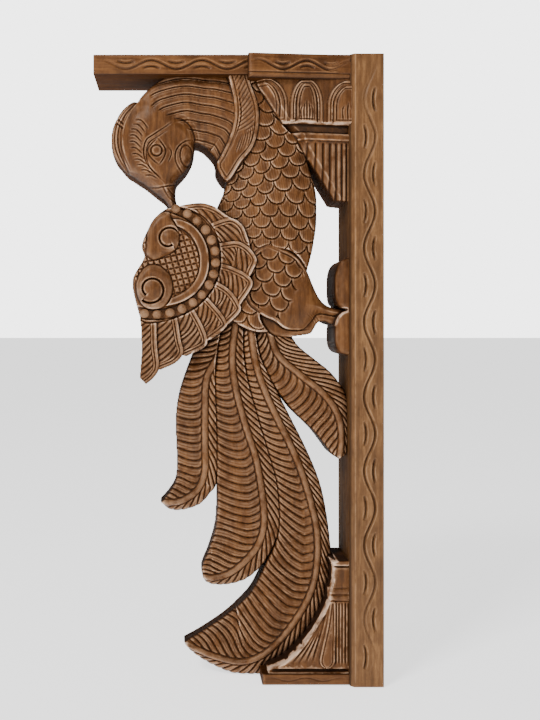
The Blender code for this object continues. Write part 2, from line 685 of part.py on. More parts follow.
def carved_mesh(name, sheet, back):
    """A closed mesh from the sheet's front to its back, cut where the distance inside the outline is zero."""
    least = 0.15 * sheet.step
    inside = np.where(np.abs(sheet.inside) < least, np.where(sheet.inside < 0, -least, least), sheet.inside)
    columns, rows = inside.shape
    number = np.arange(columns * rows).reshape(columns, rows)
    total = columns * rows
    flat = np.stack([sheet.across, sheet.up, sheet.depth, back])

    def crossings(low, high):
        part = inside[low] / np.where(inside[low] == inside[high], 1, inside[low] - inside[high])
        return flat[(slice(None), *low)] + part * (flat[(slice(None), *high)] - flat[(slice(None), *low)])

    sideways = crossings((slice(None, -1), slice(None)), (slice(1, None), slice(None)))
    upright = crossings((slice(None), slice(None, -1)), (slice(None), slice(1, None)))
    places = np.full((4, 3 * total), 0.0)
    places[:, :total] = flat.reshape(4, -1)
    places[:, total + number[:-1].reshape(-1)] = sideways.reshape(4, -1)
    places[:, 2 * total + number[:, :-1].reshape(-1)] = upright.reshape(4, -1)

    here = number[:-1, :-1]
    right, above, both = number[1:, :-1], number[:-1, 1:], number[1:, 1:]
    around = np.stack(
        [here, total + here, right, 2 * total + right, both, total + above, above, 2 * total + here]
    )
    corners = np.stack([inside[:-1, :-1], inside[1:, :-1], inside[1:, 1:], inside[:-1, 1:]]) > 0
    kind = (corners * np.array([1, 2, 4, 8])[:, None, None]).sum(0)
    faces = []
    walls = []
    for case in range(1, 16):
        ring, cuts = cell_faces([bool(case >> corner & 1) for corner in range(4)])
        cells = around[:, kind == case]
        faces.append(cells[ring].T)
        for first, last in cuts:
            walls.append(cells[[last, first]].T)
    walls = np.vstack(walls)

    used = np.unique(np.concatenate([face.reshape(-1) for face in faces]))
    order = np.full(3 * total, -1)
    order[used] = np.arange(len(used))
    front_places = places[:, used]
    count = len(used)
    loops = []
    sizes = []
    for face in faces:
        if not len(face):
            continue
        ordered = order[face]
        loops.append(ordered.reshape(-1))
        loops.append((ordered[:, ::-1] + count).reshape(-1))
        sizes.append(np.full(2 * len(face), face.shape[1]))
    rim = order[walls]
    loops.append(np.stack([rim[:, 0], rim[:, 1], rim[:, 1] + count, rim[:, 0] + count], 1).reshape(-1))
    sizes.append(np.full(len(rim), 4))
    across, up = across_place(front_places[0]), up_place(front_places[1])
    sides = [np.stack([across, depth_place(depth), up], 1) for depth in front_places[2:]]
    points = np.concatenate(sides)
    loops = np.concatenate(loops).astype(np.int32)
    sizes = np.concatenate(sizes).astype(np.int32)
    mesh = bpy.data.meshes.new(name)
    mesh.vertices.add(len(points))
    mesh.vertices.foreach_set("co", points.astype(np.float32).reshape(-1))
    mesh.loops.add(len(loops))
    mesh.loops.foreach_set("vertex_index", loops)
    mesh.polygons.add(len(sizes))
    mesh.polygons.foreach_set("loop_start", np.concatenate([[0], np.cumsum(sizes)[:-1]]).astype(np.int32))
    mesh.polygons.foreach_set("loop_total", sizes)
    mesh.update(calc_edges=True)
    mesh.validate()
    return mesh


def across_place(across):
    """A carving place measured from the post's inner face, in metres along X."""
    return across * UNIT - POST_WIDTH


def up_place(up):
    """A carving level in metres along Z."""
    return (up - LOWEST) * UNIT - HEIGHT / 2


def depth_place(depth):
    """A carving depth in metres along Y."""
    return depth * DEPTH / CARVED_DEPTH - DEPTH / 2


def wood():
    """Warm brown stained wood."""
    material = bpy.data.materials.new("stained wood")
    material.use_nodes = True
    shader = material.node_tree.nodes["Principled BSDF"]
    shader.inputs["Base Color"].default_value = (0.19, 0.075, 0.028, 1)
    shader.inputs["Roughness"].default_value = 0.55
    shader.inputs["Metallic"].default_value = 0.0
    return material


def add_block(name, collection, low, high):
    """A block between two corners."""
    mesh = bpy.data.meshes.new(name)
    block = bpy.data.objects.new(name, mesh)
    collection.objects.link(block)
    shape = bmesh.new()
    bmesh.ops.create_cube(shape, size=1.0)
    for vertex in shape.verts:
        for axis in range(3):
            vertex.co[axis] = low[axis] if vertex.co[axis] < 0 else high[axis]
    shape.to_mesh(mesh)
    shape.free()
    block.hide_render = True
    block.display_type = "WIRE"
    return block


def post(collection):
    """The bar that lies on the wall, its inner front edge chamfered."""
    block = add_block("post", collection, (-POST_WIDTH, FRONT, -TOP), (0, -FRONT, TOP))
    shape = bmesh.new()
    shape.from_mesh(block.data)
    inner_front = [
        edge
        for edge in shape.edges
        if all(vertex.co.x < -POST_WIDTH / 2 and vertex.co.y < 0 for vertex in edge.verts)
    ]
    bmesh.ops.bevel(shape, geom=inner_front, offset=POST_CHAMFER, segments=1, affect="EDGES")
    shape.to_mesh(block.data)
    shape.free()
    return block


def beam(collection):
    """The short beam along the top."""
    low = (-WIDTH, FRONT + BEAM_SETBACK, TOP - BEAM_HEIGHT)
    return add_block("beam", collection, low, (-POST_WIDTH / 2, -FRONT, TOP))


def abacus(collection):
    """The thicker length of beam over the console, standing proud at its free end."""
    left = -POST_WIDTH - ABACUS_REACH
    low = (left, FRONT - ABACUS_PROUD, TOP - ABACUS_HEIGHT)
    block = add_block("abacus", collection, low, (-POST_WIDTH / 2, -FRONT / 2, TOP))
    for vertex in block.data.vertices:
        if vertex.co.x > -POST_WIDTH and vertex.co.y < 0:
            vertex.co.y = FRONT + ABACUS_PROUD
    return block


def plate(collection):
    """The flat plate under the foot block."""
    low = (-POST_WIDTH - PLATE_REACH, FRONT + PLATE_SETBACK, -TOP)
    return add_block("plate", collection, low, (-POST_WIDTH / 2, -FRONT, -TOP + PLATE_HEIGHT))


def carving(collection):
    """The carved plank as one body: the carved front, and a plainer back of the same forms."""
    front = Sheet(GRID)
    plain = Sheet(GRID, detail=0.0)
    for sheet in (front, plain):
        carve(sheet)
    back = CARVED_DEPTH - 1 - BACK_RELIEF * (plain.depth - 6) - roll_off(plain.inside, 3, 2)
    mesh = carved_mesh("peacock_corbel", front, back)
    body = bpy.data.objects.new("peacock_corbel", mesh)
    collection.objects.link(body)
    mesh.materials.append(wood())
    reduce = body.modifiers.new("few faces", "DECIMATE")
    mesh.calc_loop_triangles()
    reduce.ratio = TRIANGLES / len(mesh.loop_triangles)
    reduce.use_collapse_triangulate = True
    return body


def main():
    for old in list(bpy.data.objects):
        bpy.data.objects.remove(old)
    parts = bpy.data.collections.new("carved_corbel")
    frame = bpy.data.collections.new("frame")
    bpy.context.scene.collection.children.link(parts)
    bpy.context.scene.collection.children.link(frame)
    corbel = carving(parts)
    for block in (post(frame), beam(frame), abacus(frame), plate(frame)):
        join = corbel.modifiers.new("join " + block.name, "BOOLEAN")
        join.operation = "UNION"
        join.object = block


main()
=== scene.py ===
"""The looks of the carved wooden wall corbel: a peacock between a beam, a post, a console and a fluted foot.

The carving is a sheet of depths on a fine grid. Its places are in carving units: across from the post's inner
face, where left is negative, up from the post's middle, and deep behind the post's front.
"""

import math

import bpy
import mathutils
import numpy as np
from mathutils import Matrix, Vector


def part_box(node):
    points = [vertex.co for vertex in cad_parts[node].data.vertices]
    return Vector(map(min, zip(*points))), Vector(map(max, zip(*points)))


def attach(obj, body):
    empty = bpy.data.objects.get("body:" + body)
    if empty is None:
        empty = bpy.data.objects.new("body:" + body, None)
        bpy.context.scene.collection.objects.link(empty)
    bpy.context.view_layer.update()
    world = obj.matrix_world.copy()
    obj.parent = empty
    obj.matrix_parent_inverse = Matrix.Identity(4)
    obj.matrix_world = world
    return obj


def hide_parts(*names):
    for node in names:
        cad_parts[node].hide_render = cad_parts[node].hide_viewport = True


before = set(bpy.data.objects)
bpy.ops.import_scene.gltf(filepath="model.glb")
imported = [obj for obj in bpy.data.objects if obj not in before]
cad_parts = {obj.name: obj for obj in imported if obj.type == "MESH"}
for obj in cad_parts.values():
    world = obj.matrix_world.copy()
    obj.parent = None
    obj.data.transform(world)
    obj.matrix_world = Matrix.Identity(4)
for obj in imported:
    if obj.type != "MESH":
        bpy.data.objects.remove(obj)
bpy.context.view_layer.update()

# Sizes in metres, the outer ones from the frame
LOW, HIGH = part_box("peacock_corbel")
HEIGHT = HIGH[2] - LOW[2]
WIDTH = HIGH[0] - LOW[0]
DEPTH = 2 * HIGH[1]
POST_WIDTH = 0.0325
POST_CHAMFER = 0.005
BEAM_HEIGHT = 0.019
BEAM_SETBACK = 0.004
ABACUS_REACH = 0.0985
ABACUS_HEIGHT = 0.0235
ABACUS_PROUD = 0.005
PLATE_REACH = 0.084
PLATE_HEIGHT = 0.0105
PLATE_SETBACK = 0.0065

# Carving units: the bracket is 591 of them from the beam's underside down, and 76 through the plank
CARVED_HEIGHT = 591.0
CARVED_DEPTH = 76.0
LOWEST = -305.0
HIGHEST = 293.0
FOOT_GAP = 0.7
UNIT = (HEIGHT - BEAM_HEIGHT) / CARVED_HEIGHT

# How the carving is set out, in carving units
STEP = 0.6
BARB_PITCH = (5.4, 8.6)
BARB_DEPTH = 2.5
RIB_WIDTH = 2.9
SCALE_LENGTH = 15.4
SCALE_WIDTH = 17.6
SCALE_LIFT = 2.8
STRAND_PITCH = 8.2
LATTICE_PITCH = 5.9
CHAMFER_WIDTH = 6.5
CHAMFER_DROP = 8.0
BEADS = 15
BEAD_RADIUS = 4.5
BEAD_HEIGHT = 0.9 * BEAD_RADIUS
BEAD_FRONT = 11.5
# The hollow value that the beads carry into the finish: wear on them together with a painted highlight
BEAD_WEAR_AND_HIGHLIGHT = -0.26
BEAD_RING = (-188.0, 107.0, 59.0, 53.0)
BEAD_ANGLES = (70.0, -100.0)
BACK_RELIEF = 0.3
BACK_DEPTH = CARVED_DEPTH - 1
BACK_EDGE = (3, 2)
FINE_MARKS = (1.7, 0.10)
BROAD_MARKS = (4.1, 0.16)
WAVE_CUT = (3.8, 2.2)
GRAIN_STRETCH = 0.09
SEED = 7

# How far the front's wear and painted highlight reach round onto the sides, where the ring round each piece
# lies and the sides' painted shade is full, and how far off a place's hollow and deep are judged
SIDE_SHADE_INSET = 0.9
HOLLOW_REACH = 1.3
DEEP_REACH = 7.0

# The bars' sheets, and the rounding of their edges as its radius and drop
BAR_STEP = 0.65
PLATE_STEP = 0.5
BAR_EDGE = (1.4, 1.2)

# Where the body's scales begin along its axis, and the size and reach of the bend in their rows
SCALE_START = 28
SCALE_BEND = (18, 2.6)

# What keeps the pieces' faces apart, in metres, and what keeps their meshes light: the most triangles of
# one, the side of a merged block in cells, and how far a block may leave its plane in front and behind
APART = 0.0002
MOST_TRIANGLES = 190000
BLOCK = 4
CARVED_FLAT = (0.012, 0.12)
BAR_FLAT = (0.01, 0.02)

# The angle in degrees from which an edge is shaded as sharp
SHARP_ANGLE = 66

# The studio in metres: the floor, the strengths of floor and world, each light's place, size and watts, and
# the camera
FLOOR_REACH = 60.0
FLOOR_DROP = 0.0005
FLOOR_GLOW = 1.5
WORLD_LIGHT = 0.29
BACKDROP_LIGHT = 4.0
LIGHTS = {"key": ((-1.3, -1.7, 1.6), 0.6, 55), "fill": ((1.6, -2.2, 0.3), 1.6, 4)}
LIGHTS_AIM = (-0.13, 0, 0)
CAMERA_PLACE = (-0.199, -1.054, 0.037)
CAMERA_LENS = 52.84
CAMERA_SHIFT = (0.129, -0.039)


def smooth_line(points, closed=False, steps=8):
    """A smooth line through the points."""
    at = np.array(points, float)
    if closed:
        before, after, later = np.roll(at, 1, 0), np.roll(at, -1, 0), np.roll(at, -2, 0)
    else:
        longer = np.vstack([2 * at[0] - at[1], at, 2 * at[-1] - at[-2]])
        before, at, after, later = longer[:-3], longer[1:-2], longer[2:-1], longer[3:]
    pieces = []
    for part in np.arange(steps) / steps:
        pieces.append(
            at
            + part * (after - before) / 2
            + part**2 * (before - 2.5 * at + 2 * after - later / 2)
            + part**3 * (1.5 * at - before / 2 - 1.5 * after + later / 2)
        )
    line = np.stack(pieces, 1).reshape(-1, 2)
    return np.vstack([line, line[0] if closed else after[-1]])


def closed_line(points):
    """A smooth closed line through the points."""
    return smooth_line(points, closed=True)


def straight_line(points):
    """A closed line with straight sides through the points."""
    return np.array(points + points[:1], float)


def spread(values, part):
    """Values given evenly from 0 to 1, read smoothly at each part."""
    knots = smooth_line([(number / (len(values) - 1), value) for number, value in enumerate(values)])
    return np.interp(part, knots[:, 0], knots[:, 1])


def along_line(line, across, up):
    """How far along a line each place lies, how far to the line's left, and the line's length."""
    nearest = np.full(across.shape, np.inf)
    along = np.zeros(across.shape)
    side = np.ones(across.shape)
    start = 0.0
    for first, last in zip(line[:-1], line[1:]):
        run, rise = last - first
        length = math.hypot(run, rise)
        if length == 0:
            continue
        part = np.clip(((across - first[0]) * run + (up - first[1]) * rise) / length**2, 0, 1)
        off_across = across - first[0] - part * run
        off_up = up - first[1] - part * rise
        far = off_across**2 + off_up**2
        nearer = far < nearest
        nearest = np.where(nearer, far, nearest)
        along = np.where(nearer, start + part * length, along)
        side = np.where(nearer, np.where(run * off_up > rise * off_across, 1.0, -1.0), side)
        start += length
    return along, np.sqrt(nearest) * side, start


def inside_line(line, across, up):
    """How far inside a closed line each place lies."""
    nearest = np.full(across.shape, np.inf)
    within = np.zeros(across.shape, bool)
    for first, last in zip(line[:-1], line[1:]):
        run, rise = last - first
        length_squared = run * run + rise * rise
        if length_squared == 0:
            continue
        part = np.clip(((across - first[0]) * run + (up - first[1]) * rise) / length_squared, 0, 1)
        far = (across - first[0] - part * run) ** 2 + (up - first[1] - part * rise) ** 2
        nearest = np.minimum(nearest, far)
        if rise:
            crosses = (first[1] > up) != (last[1] > up)
            within ^= crosses & (across < first[0] + run * (up - first[1]) / rise)
    return np.sqrt(nearest) * np.where(within, 1.0, -1.0)


def ease(value):
    """A soft step from 0 to 1."""
    part = np.clip(value, 0, 1)
    return part * part * (3 - 2 * part)


def roll_off(edge, radius, drop):
    """The depth that a rounded edge loses within its radius."""
    part = 1 - np.clip(edge / radius, 0, 1)
    return drop * (1 - np.sqrt(1 - np.minimum(part, 0.999) ** 2))


def dome(reach):
    """0 in the middle of a dome, 1 where its side stands upright."""
    return 1 - np.sqrt(1 - np.minimum(np.abs(reach), 0.98) ** 2)


def groove(value):
    """1 in the grooves at whole numbers, 0 on the rounded ridges between them."""
    return (1 - np.abs(np.sin(np.pi * value))) ** 1.25


def vee(distance, width, depth):
    """The depth of a cut of this width along a line at this distance."""
    return depth * np.clip(1 - np.abs(distance) / (width / 2), 0, 1)


def wander(across, up, size, reach):
    """A slow waver, as of a hand that follows a drawn line."""
    first = np.sin(across / size + 1.7 * np.sin(up / (1.9 * size)) + 0.6)
    second = np.sin(up / (0.8 * size) + 1.3 * np.sin(across / (1.4 * size)) + 2.1)
    return reach * (first + second) / 2


class Sheet:
    """Places across and up the plank, with the front's depth, how far inside they lie and in which form."""

    def __init__(self, step, detail=1.0, bounds=(-238, 9, -308, 297)):
        left, right, bottom, top = bounds
        columns = int(round((right - left) / step)) + 1
        rows = int(round((top - bottom) / step)) + 1
        self.step = step
        self.detail = detail
        self.across, self.up = np.meshgrid(
            left + step * np.arange(columns), bottom + step * np.arange(rows), indexing="ij"
        )
        self.depth = np.full(self.across.shape, CARVED_DEPTH)
        self.inside = np.full(self.across.shape, -CARVED_HEIGHT)
        self.form = np.zeros(self.across.shape, int)
        self.forms = 0

    def window(self, line, margin=4):
        """The part of the sheet around a line, and the places in it."""
        low = np.min(line, 0) - margin
        high = np.max(line, 0) + margin
        left, right = np.searchsorted(self.across[:, 0], [low[0], high[0]])
        bottom, top = np.searchsorted(self.up[0], [low[1], high[1]])
        part = slice(left, right), slice(bottom, top)
        return part, self.across[part], self.up[part]

    def within(self, line):
        """The part of the sheet around a closed line, its places, and how far inside the line they lie."""
        part, across, up = self.window(line)
        return part, across, up, inside_line(line, across, up)

    def lay(self, part, edge, depth, blend=1.3):
        """Lay a form over what is there, where its distance inside its own outline is above zero."""
        under = self.inside[part]
        cover = ease((edge - np.minimum(under, 0)) / blend + 0.5)
        self.depth[part] = self.depth[part] * (1 - cover) + depth * cover
        self.inside[part] = np.maximum(under, edge)
        self.form[part] = np.where(edge > 0, self.forms, self.form[part])

    def cut(self, part, depth):
        """Cut into what is there."""
        self.depth[part] += self.detail * depth

    def stroke(self, points, width, depth, steps=6):
        """One cut of the knife along a curve, shallower at its ends."""
        line = smooth_line(points, steps=steps)
        part, across, up = self.window(line, width)
        along, side, length = along_line(line, across, up)
        to_end = np.minimum(along, length - along)
        self.cut(part, vee(side, width, depth) * np.sqrt(np.clip(4 * to_end / length, 0, 1)))


def tail_feather(sheet, spine, far_side, post_side, front):
    """A long feather: a rounded rib along its spine, and barbs that sweep from it to both edges."""
    line, far_line, post_line = smooth_line(spine), smooth_line(far_side), smooth_line(post_side)
    outline = np.vstack([far_line, post_line[::-1], far_line[:1]])
    part, across, up, edge = sheet.within(outline)
    along, side, length = along_line(line, across, up)
    off = np.abs(side)
    reach = off / np.maximum(off + np.maximum(edge, 0), 0.5)
    depth = spread(front, along / length) + 6.0 * reach**2 + roll_off(edge, 3.0, 2.5)
    rib = 2.2 * np.clip(1 - (off / RIB_WIDTH) ** 2, 0, 1)

    far_along, _, far_length = along_line(far_line, across, up)
    post_along, _, post_length = along_line(post_line, across, up)
    share_at_edge = np.where(side > 0, post_along / post_length, far_along / far_length)
    share = along / length * (1 - reach) + share_at_edge * reach
    sweep = 17 * (1 - np.exp(-off / 11)) + 0.05 * off + wander(across, up, 19, 1.1)
    places = np.linspace(0, length, 120)
    pitch = np.interp(places / length, [0, 0.4], BARB_PITCH)
    count = np.concatenate([[0], np.cumsum(np.diff(places) / pitch[1:])])
    number = np.interp(share * length - sweep, places, count)
    barbs = BARB_DEPTH * ease((off - RIB_WIDTH) / 1.4) * groove(number)
    splits = vee(np.mod(number * 2 + 0.5, 1) - 0.5, 0.34, 0.35) * ease((off - RIB_WIDTH - 4) / 2)
    crease = vee(off - RIB_WIDTH - 0.5, 1.8, 1.0)
    sheet.lay(part, edge, depth - rib + sheet.detail * (barbs + splits + crease))


def tail(sheet):
    """Four feathers, each lapping the one before it."""
    tail_feather(
        sheet,
        [(-113, 66), (-118, 44), (-125, 16), (-137, -8), (-139, -37), (-139, -75), (-139, -100),
         (-146, -119), (-163, -131), (-183, -133)],
        [(-130, 66), (-139, 44), (-153, 10), (-164, -22), (-168, -50), (-167, -88), (-168, -110),
         (-175, -123), (-183, -132)],
        [(-98, 66), (-104, 44), (-122, -5), (-123, -37), (-122, -75), (-127, -113), (-133, -123),
         (-144, -135), (-161, -141), (-175, -140), (-183, -132)],
        [25, 26, 28, 30, 34],
    )
    tail_feather(
        sheet,
        [(-104, 66), (-109, 44), (-112, 17), (-111, -5), (-106, -31), (-98, -59), (-89, -87), (-84, -113),
         (-81, -137), (-81, -156), (-86, -173), (-97, -188), (-112, -201), (-128, -207), (-141, -207)],
        [(-118, 66), (-122, 44), (-127, 19), (-129, -5), (-128, -37), (-127, -75), (-127, -110),
         (-127, -141), (-129, -160), (-135, -180), (-142, -198), (-141, -208)],
        [(-92, 66), (-94, 44), (-92, -11), (-82, -50), (-70, -90), (-64, -112), (-63, -144), (-67, -168),
         (-80, -193), (-95, -208), (-111, -214.5), (-127, -216), (-137, -213.5), (-141, -208)],
        [23, 24, 26, 29, 34],
    )
    tail_feather(
        sheet,
        [(-95, 49), (-91, 16), (-86, -5), (-76, -31), (-65, -54), (-56, -72), (-44, -101), (-33, -137),
         (-28, -166), (-29, -197), (-35, -222), (-49, -248), (-67, -271), (-84, -285), (-104, -291),
         (-130, -286), (-157, -275)],
        [(-101, 49), (-101, 19), (-97, -10), (-86, -50), (-74, -90), (-68, -112), (-65, -144), (-67, -169),
         (-78, -193), (-84, -206), (-95, -225), (-117, -246), (-142, -263), (-160, -273)],
        [(-79, 49), (-76, 1), (-67, -22), (-55, -46), (-38, -80), (-25, -112), (-18, -144), (-14, -176),
         (-12, -206), (-17, -229), (-25, -250), (-37, -269), (-52, -287), (-67, -299), (-81, -304.5),
         (-96, -306), (-116, -303), (-140, -292), (-155, -281), (-160, -273)],
        [22, 23, 25, 28, 32, 38],
    )
    tail_feather(
        sheet,
        [(-84, 56), (-76, 38), (-67, 14), (-46, -5), (-23, -24), (-10, -43), (-6, -64), (-8, -86)],
        [(-91, 49), (-86, 17), (-76, -6), (-66, -23), (-55, -38), (-43, -50), (-31, -62), (-21, -75),
         (-15, -83), (-9, -87)],
        [(-60, 49), (-49, 26), (-32, 11), (-16, -2), (-5, -16), (1, -30), (2, -48), (2, -68), (0, -82),
         (-4, -86), (-9, -87)],
        [24, 22, 19, 16, 14],
    )


def scales(along, side):
    """The depth under overlapping round-ended scales, in staggered rows along the body, a cut round each."""
    row_pitch = 0.72 * SCALE_LENGTH
    round_end = 0.60 * SCALE_WIDTH
    row = np.floor(along / row_pitch)
    depth = np.full(along.shape, SCALE_LIFT)
    covered = np.zeros(along.shape, bool)
    from_cover = np.full(along.shape, 9.0)
    for rows_back in (2, 1, 0, -1):
        this_row = row - rows_back
        shift = np.where(this_row % 2 == 0, 0.0, 0.5)
        middle = (np.round(side / SCALE_WIDTH - shift) + shift) * SCALE_WIDTH
        off = (side - middle) / (SCALE_WIDTH / 2)
        end = (this_row + 0.8) * row_pitch + round_end * (1 - np.abs(off) ** 2.4) ** 0.55
        slope = 1 + 1.1 * np.abs(off) ** 3
        to_end = (end - along) / slope
        here = (to_end > 0) & ~covered
        rise = SCALE_LIFT * np.clip(to_end / (1.5 * SCALE_LENGTH), 0, 1)
        cut = 2.0 * np.clip(1 - from_cover / 2.2, 0, 1)
        depth = np.where(here, rise + roll_off(to_end, 4.5, 1.5) + 0.9 * off**2 + cut, depth)
        covered |= here
        from_cover = np.where(~covered, np.minimum(from_cover, -to_end), from_cover)
    return depth


BODY_AXIS = [(-108, 290), (-93, 250), (-79, 217), (-70, 184), (-66, 151), (-67, 117), (-74, 83), (-84, 30)]


def body_scales(across, up):
    """The scales that body and thigh share, and how far to the left of the body's axis each place lies."""
    along, side, _ = along_line(smooth_line(BODY_AXIS), across, up)
    bend = wander(across, up, *SCALE_BEND)
    return scales(along - SCALE_START + bend, side + bend), side


def body(sheet):
    """The scaled body, its crown along the axis."""
    outline = closed_line(
        [(-108, 296), (-86, 282), (-60, 254), (-43, 221), (-36, 196), (-30, 177), (-29, 150), (-32, 125),
         (-38, 100), (-46, 76), (-54, 52), (-74, 38), (-98, 40), (-122, 60), (-132, 108), (-130, 150),
         (-120, 176), (-120, 189), (-127, 204), (-122, 240), (-114, 280)]
    )
    part, across, up, edge = sheet.within(outline)
    scaled, side = body_scales(across, up)
    depth = 12 + 24 * dome(np.where(side > 0, side / 44, side / 60)) + roll_off(edge, 4, 3)
    streaks = 0.3 * groove(side / 2.3 + 0.5 * wander(across, up, 9, 1.0))
    sheet.lay(part, edge, depth + sheet.detail * (scaled + streaks))


def thigh(sheet):
    """The thigh's underside, its scaled bulge with a ridge above, and the leg that reaches the post."""
    under = closed_line(
        [(-84, 56), (-40, 58), (-10, 58), (6, 58), (6, 46), (-13, 44), (-22, 47), (-28, 46), (-32, 40),
         (-36, 35), (-47, 33), (-60, 32), (-76, 36)]
    )
    part, across, up, edge = sheet.within(under)
    sheet.lay(part, edge, 22 + roll_off(edge, 4, 4))
    bulge = closed_line(
        [(-80, 122), (-70, 119.5), (-56, 116.5), (-47, 109.5), (-39.5, 98), (-33, 82.5), (-27, 70.5),
         (-20.3, 63.5), (-10.6, 60), (5, 58), (5, 51), (-12, 52), (-22, 54), (-29, 54), (-34, 48),
         (-42, 40), (-52, 38.5), (-62, 41), (-72, 48), (-84, 54), (-98, 66), (-100, 90), (-94, 112)]
    )
    part, across, up, edge = sheet.within(bulge)
    lean = 0.12 * np.clip(-60 - across, 0, 40) + 0.1 * np.clip(across + 40, 0, 40)
    plain = ease((across + 47 + 0.5 * (90 - up) * (up < 90)) / 6) * ease((up - 30) / 10)
    scaled = (1 - plain) * ease((edge - 3) / 2) * body_scales(across, up)[0]
    free = ease((across + 68) / 16)
    depth = 12 + 1.5 * free + lean + roll_off(edge, 16, 10) * (0.12 + 0.88 * free)
    sheet.lay(part, edge, depth + sheet.detail * scaled)
    sheet.stroke([(-74, 119), (-64, 114.5), (-53, 109), (-46, 102), (-41, 93)], 2.2, 1.3)
    sheet.stroke([(-71, 48), (-64, 41.5), (-55, 38.5), (-46, 38.5), (-36, 40)], 2.0, 1.2)
    for number in range(3):
        sheet.stroke([(-40 + 3 * number, 55), (-35 + 3 * number, 50.5), (-32 + 3 * number, 45)], 1.4, 0.7)


def foot(sheet):
    """The perch on the post: one long toe above the leg and one below it."""
    for low, high, front in ((15, 57, 8), (60, 108, 8)):
        outline = closed_line(
            [(7, high), (-3, high), (-9.5, high - 5), (-13, high - 16), (-13, low + 12), (-10, low + 3.5),
             (-3, low), (7, low)]
        )
        part, across, up, edge = sheet.within(outline)
        ends = roll_off(np.minimum(up - low, high - up), 5, 3)
        sheet.lay(part, edge, front + roll_off(across + 13.5, 9, 15) + ends + 3 * ease((across - 2) / 3))


def slant_chamfer(outline, across, up):
    """The depth lost to the chamfer along the console's slant."""
    _, from_slant, _ = along_line(outline[:6], across, up)
    return CHAMFER_DROP * np.clip(1 - np.abs(from_slant) / CHAMFER_WIDTH, 0, 1)


def console(sheet):
    """The stepped console under the beam: lotus petals, a cove and flutes, cut off by a slant."""
    outline = straight_line(
        [(-93, 297), (-88, 276), (-62, 238), (-49, 226), (-49, 223), (-13, 165), (7, 163), (7, 297)]
    )
    part, across, up, edge = sheet.within(outline)
    level = up + 0.043 * (across + 60)
    to_post = np.clip(2.8 - across, 0, 80)
    flute = (np.sqrt(14.4 + 1.28 * to_post) - 3.8) / 0.64
    flutes = 3.0 * groove(flute) * ease((224 - level) / 3)
    depth = np.interp(
        level,
        [164, 224, 225.2, 230, 231.2, 233, 239.5, 240.5, 300],
        [12.5, 12, 9.2, 9.2, 10.5, 16.5, 15.5, 6.5, 6.5],
    )
    into_post = 6 * ease((across - 2.5) / 2)
    depth += slant_chamfer(outline, across, up)
    sheet.lay(part, edge, depth + sheet.detail * flutes + roll_off(edge, 2, 1.5) + into_post)
    for middle, inner_half, outer_half, inner_top, outer_top in (
        (-85.5, 19.0, 26.5, 279, 283.5),
        (3.0, 19.0, 24.5, 275.5, 280.5),
        (-41.2, 10.8, 16.3, 277.5, 281.5),
    ):
        lotus_petal(sheet, outline, middle, inner_half, outer_half, inner_top, outer_top)


def lotus_petal(sheet, outline, middle, inner_half, outer_half, inner_top, outer_top):
    """One lotus petal within the console: a rimmed outer lobe and a cushioned inner one with short veins."""
    foot_up = 240
    lobes = ((outer_half, outer_top, 4.4, 0.6), (inner_half, inner_top, 3.0, 2.6))
    for half_width, top, front, crown in lobes:
        spine = np.array([(middle, foot_up - 2.0), (middle, top)])
        part, across, up = sheet.window(spine, half_width + 3)
        rise = np.clip((up - foot_up) / (top - foot_up), 0, 1)
        half = half_width * np.sqrt(1 - np.clip((rise - 0.35) / 0.65, 0, 1) ** 2.3)
        side = across - middle
        edge = np.minimum(np.minimum(half - np.abs(side), top - up), up - foot_up + 0.04 * (across + 60))
        depth = front + crown * (side / half_width) ** 2 + roll_off(edge, 2.6, 2.8)
        depth += 4 * ease((across - 2.5) / 2)
        depth += sheet.detail * vee(edge - 3.6, 1.8, 1.2)
        depth += slant_chamfer(outline, across, up)
        limit = inside_line(outline, across, up) - 0.01
        sheet.lay(part, np.minimum(edge, limit), depth, 1.0)
    for number in range(5):
        turn = number - 2
        at = middle + turn * 0.24 * inner_half
        if at < 1 and inside_line(outline, np.array([at]), np.array([foot_up + 8.0]))[0] > CHAMFER_WIDTH:
            top = foot_up + 21 - 2.5 * abs(turn)
            vein = [(at, foot_up + 1), (at + 0.3 * turn, foot_up + 11), (at - 0.6 * turn, top)]
            sheet.stroke(vein, 1.8, 1.5)


NECK_OUTLINE = [
    (-206, 262), (-200, 269), (-192, 277), (-180, 286), (-168, 292), (-140, 296), (-110, 296), (-92, 270),
    (-94, 217), (-119, 186), (-127, 200), (-130, 208), (-136, 215), (-142, 220), (-148.5, 222),
]
HEAD_OUTLINE = [
    (-149.5, 214), (-152, 205), (-157, 196), (-163, 189), (-167.5, 183), (-168, 169), (-166, 157),
    (-174, 157), (-178, 165), (-189, 174), (-199, 182), (-206, 186.5), (-214.5, 194), (-220, 212),
    (-222, 226), (-221, 238), (-217, 249), (-211, 257),
]


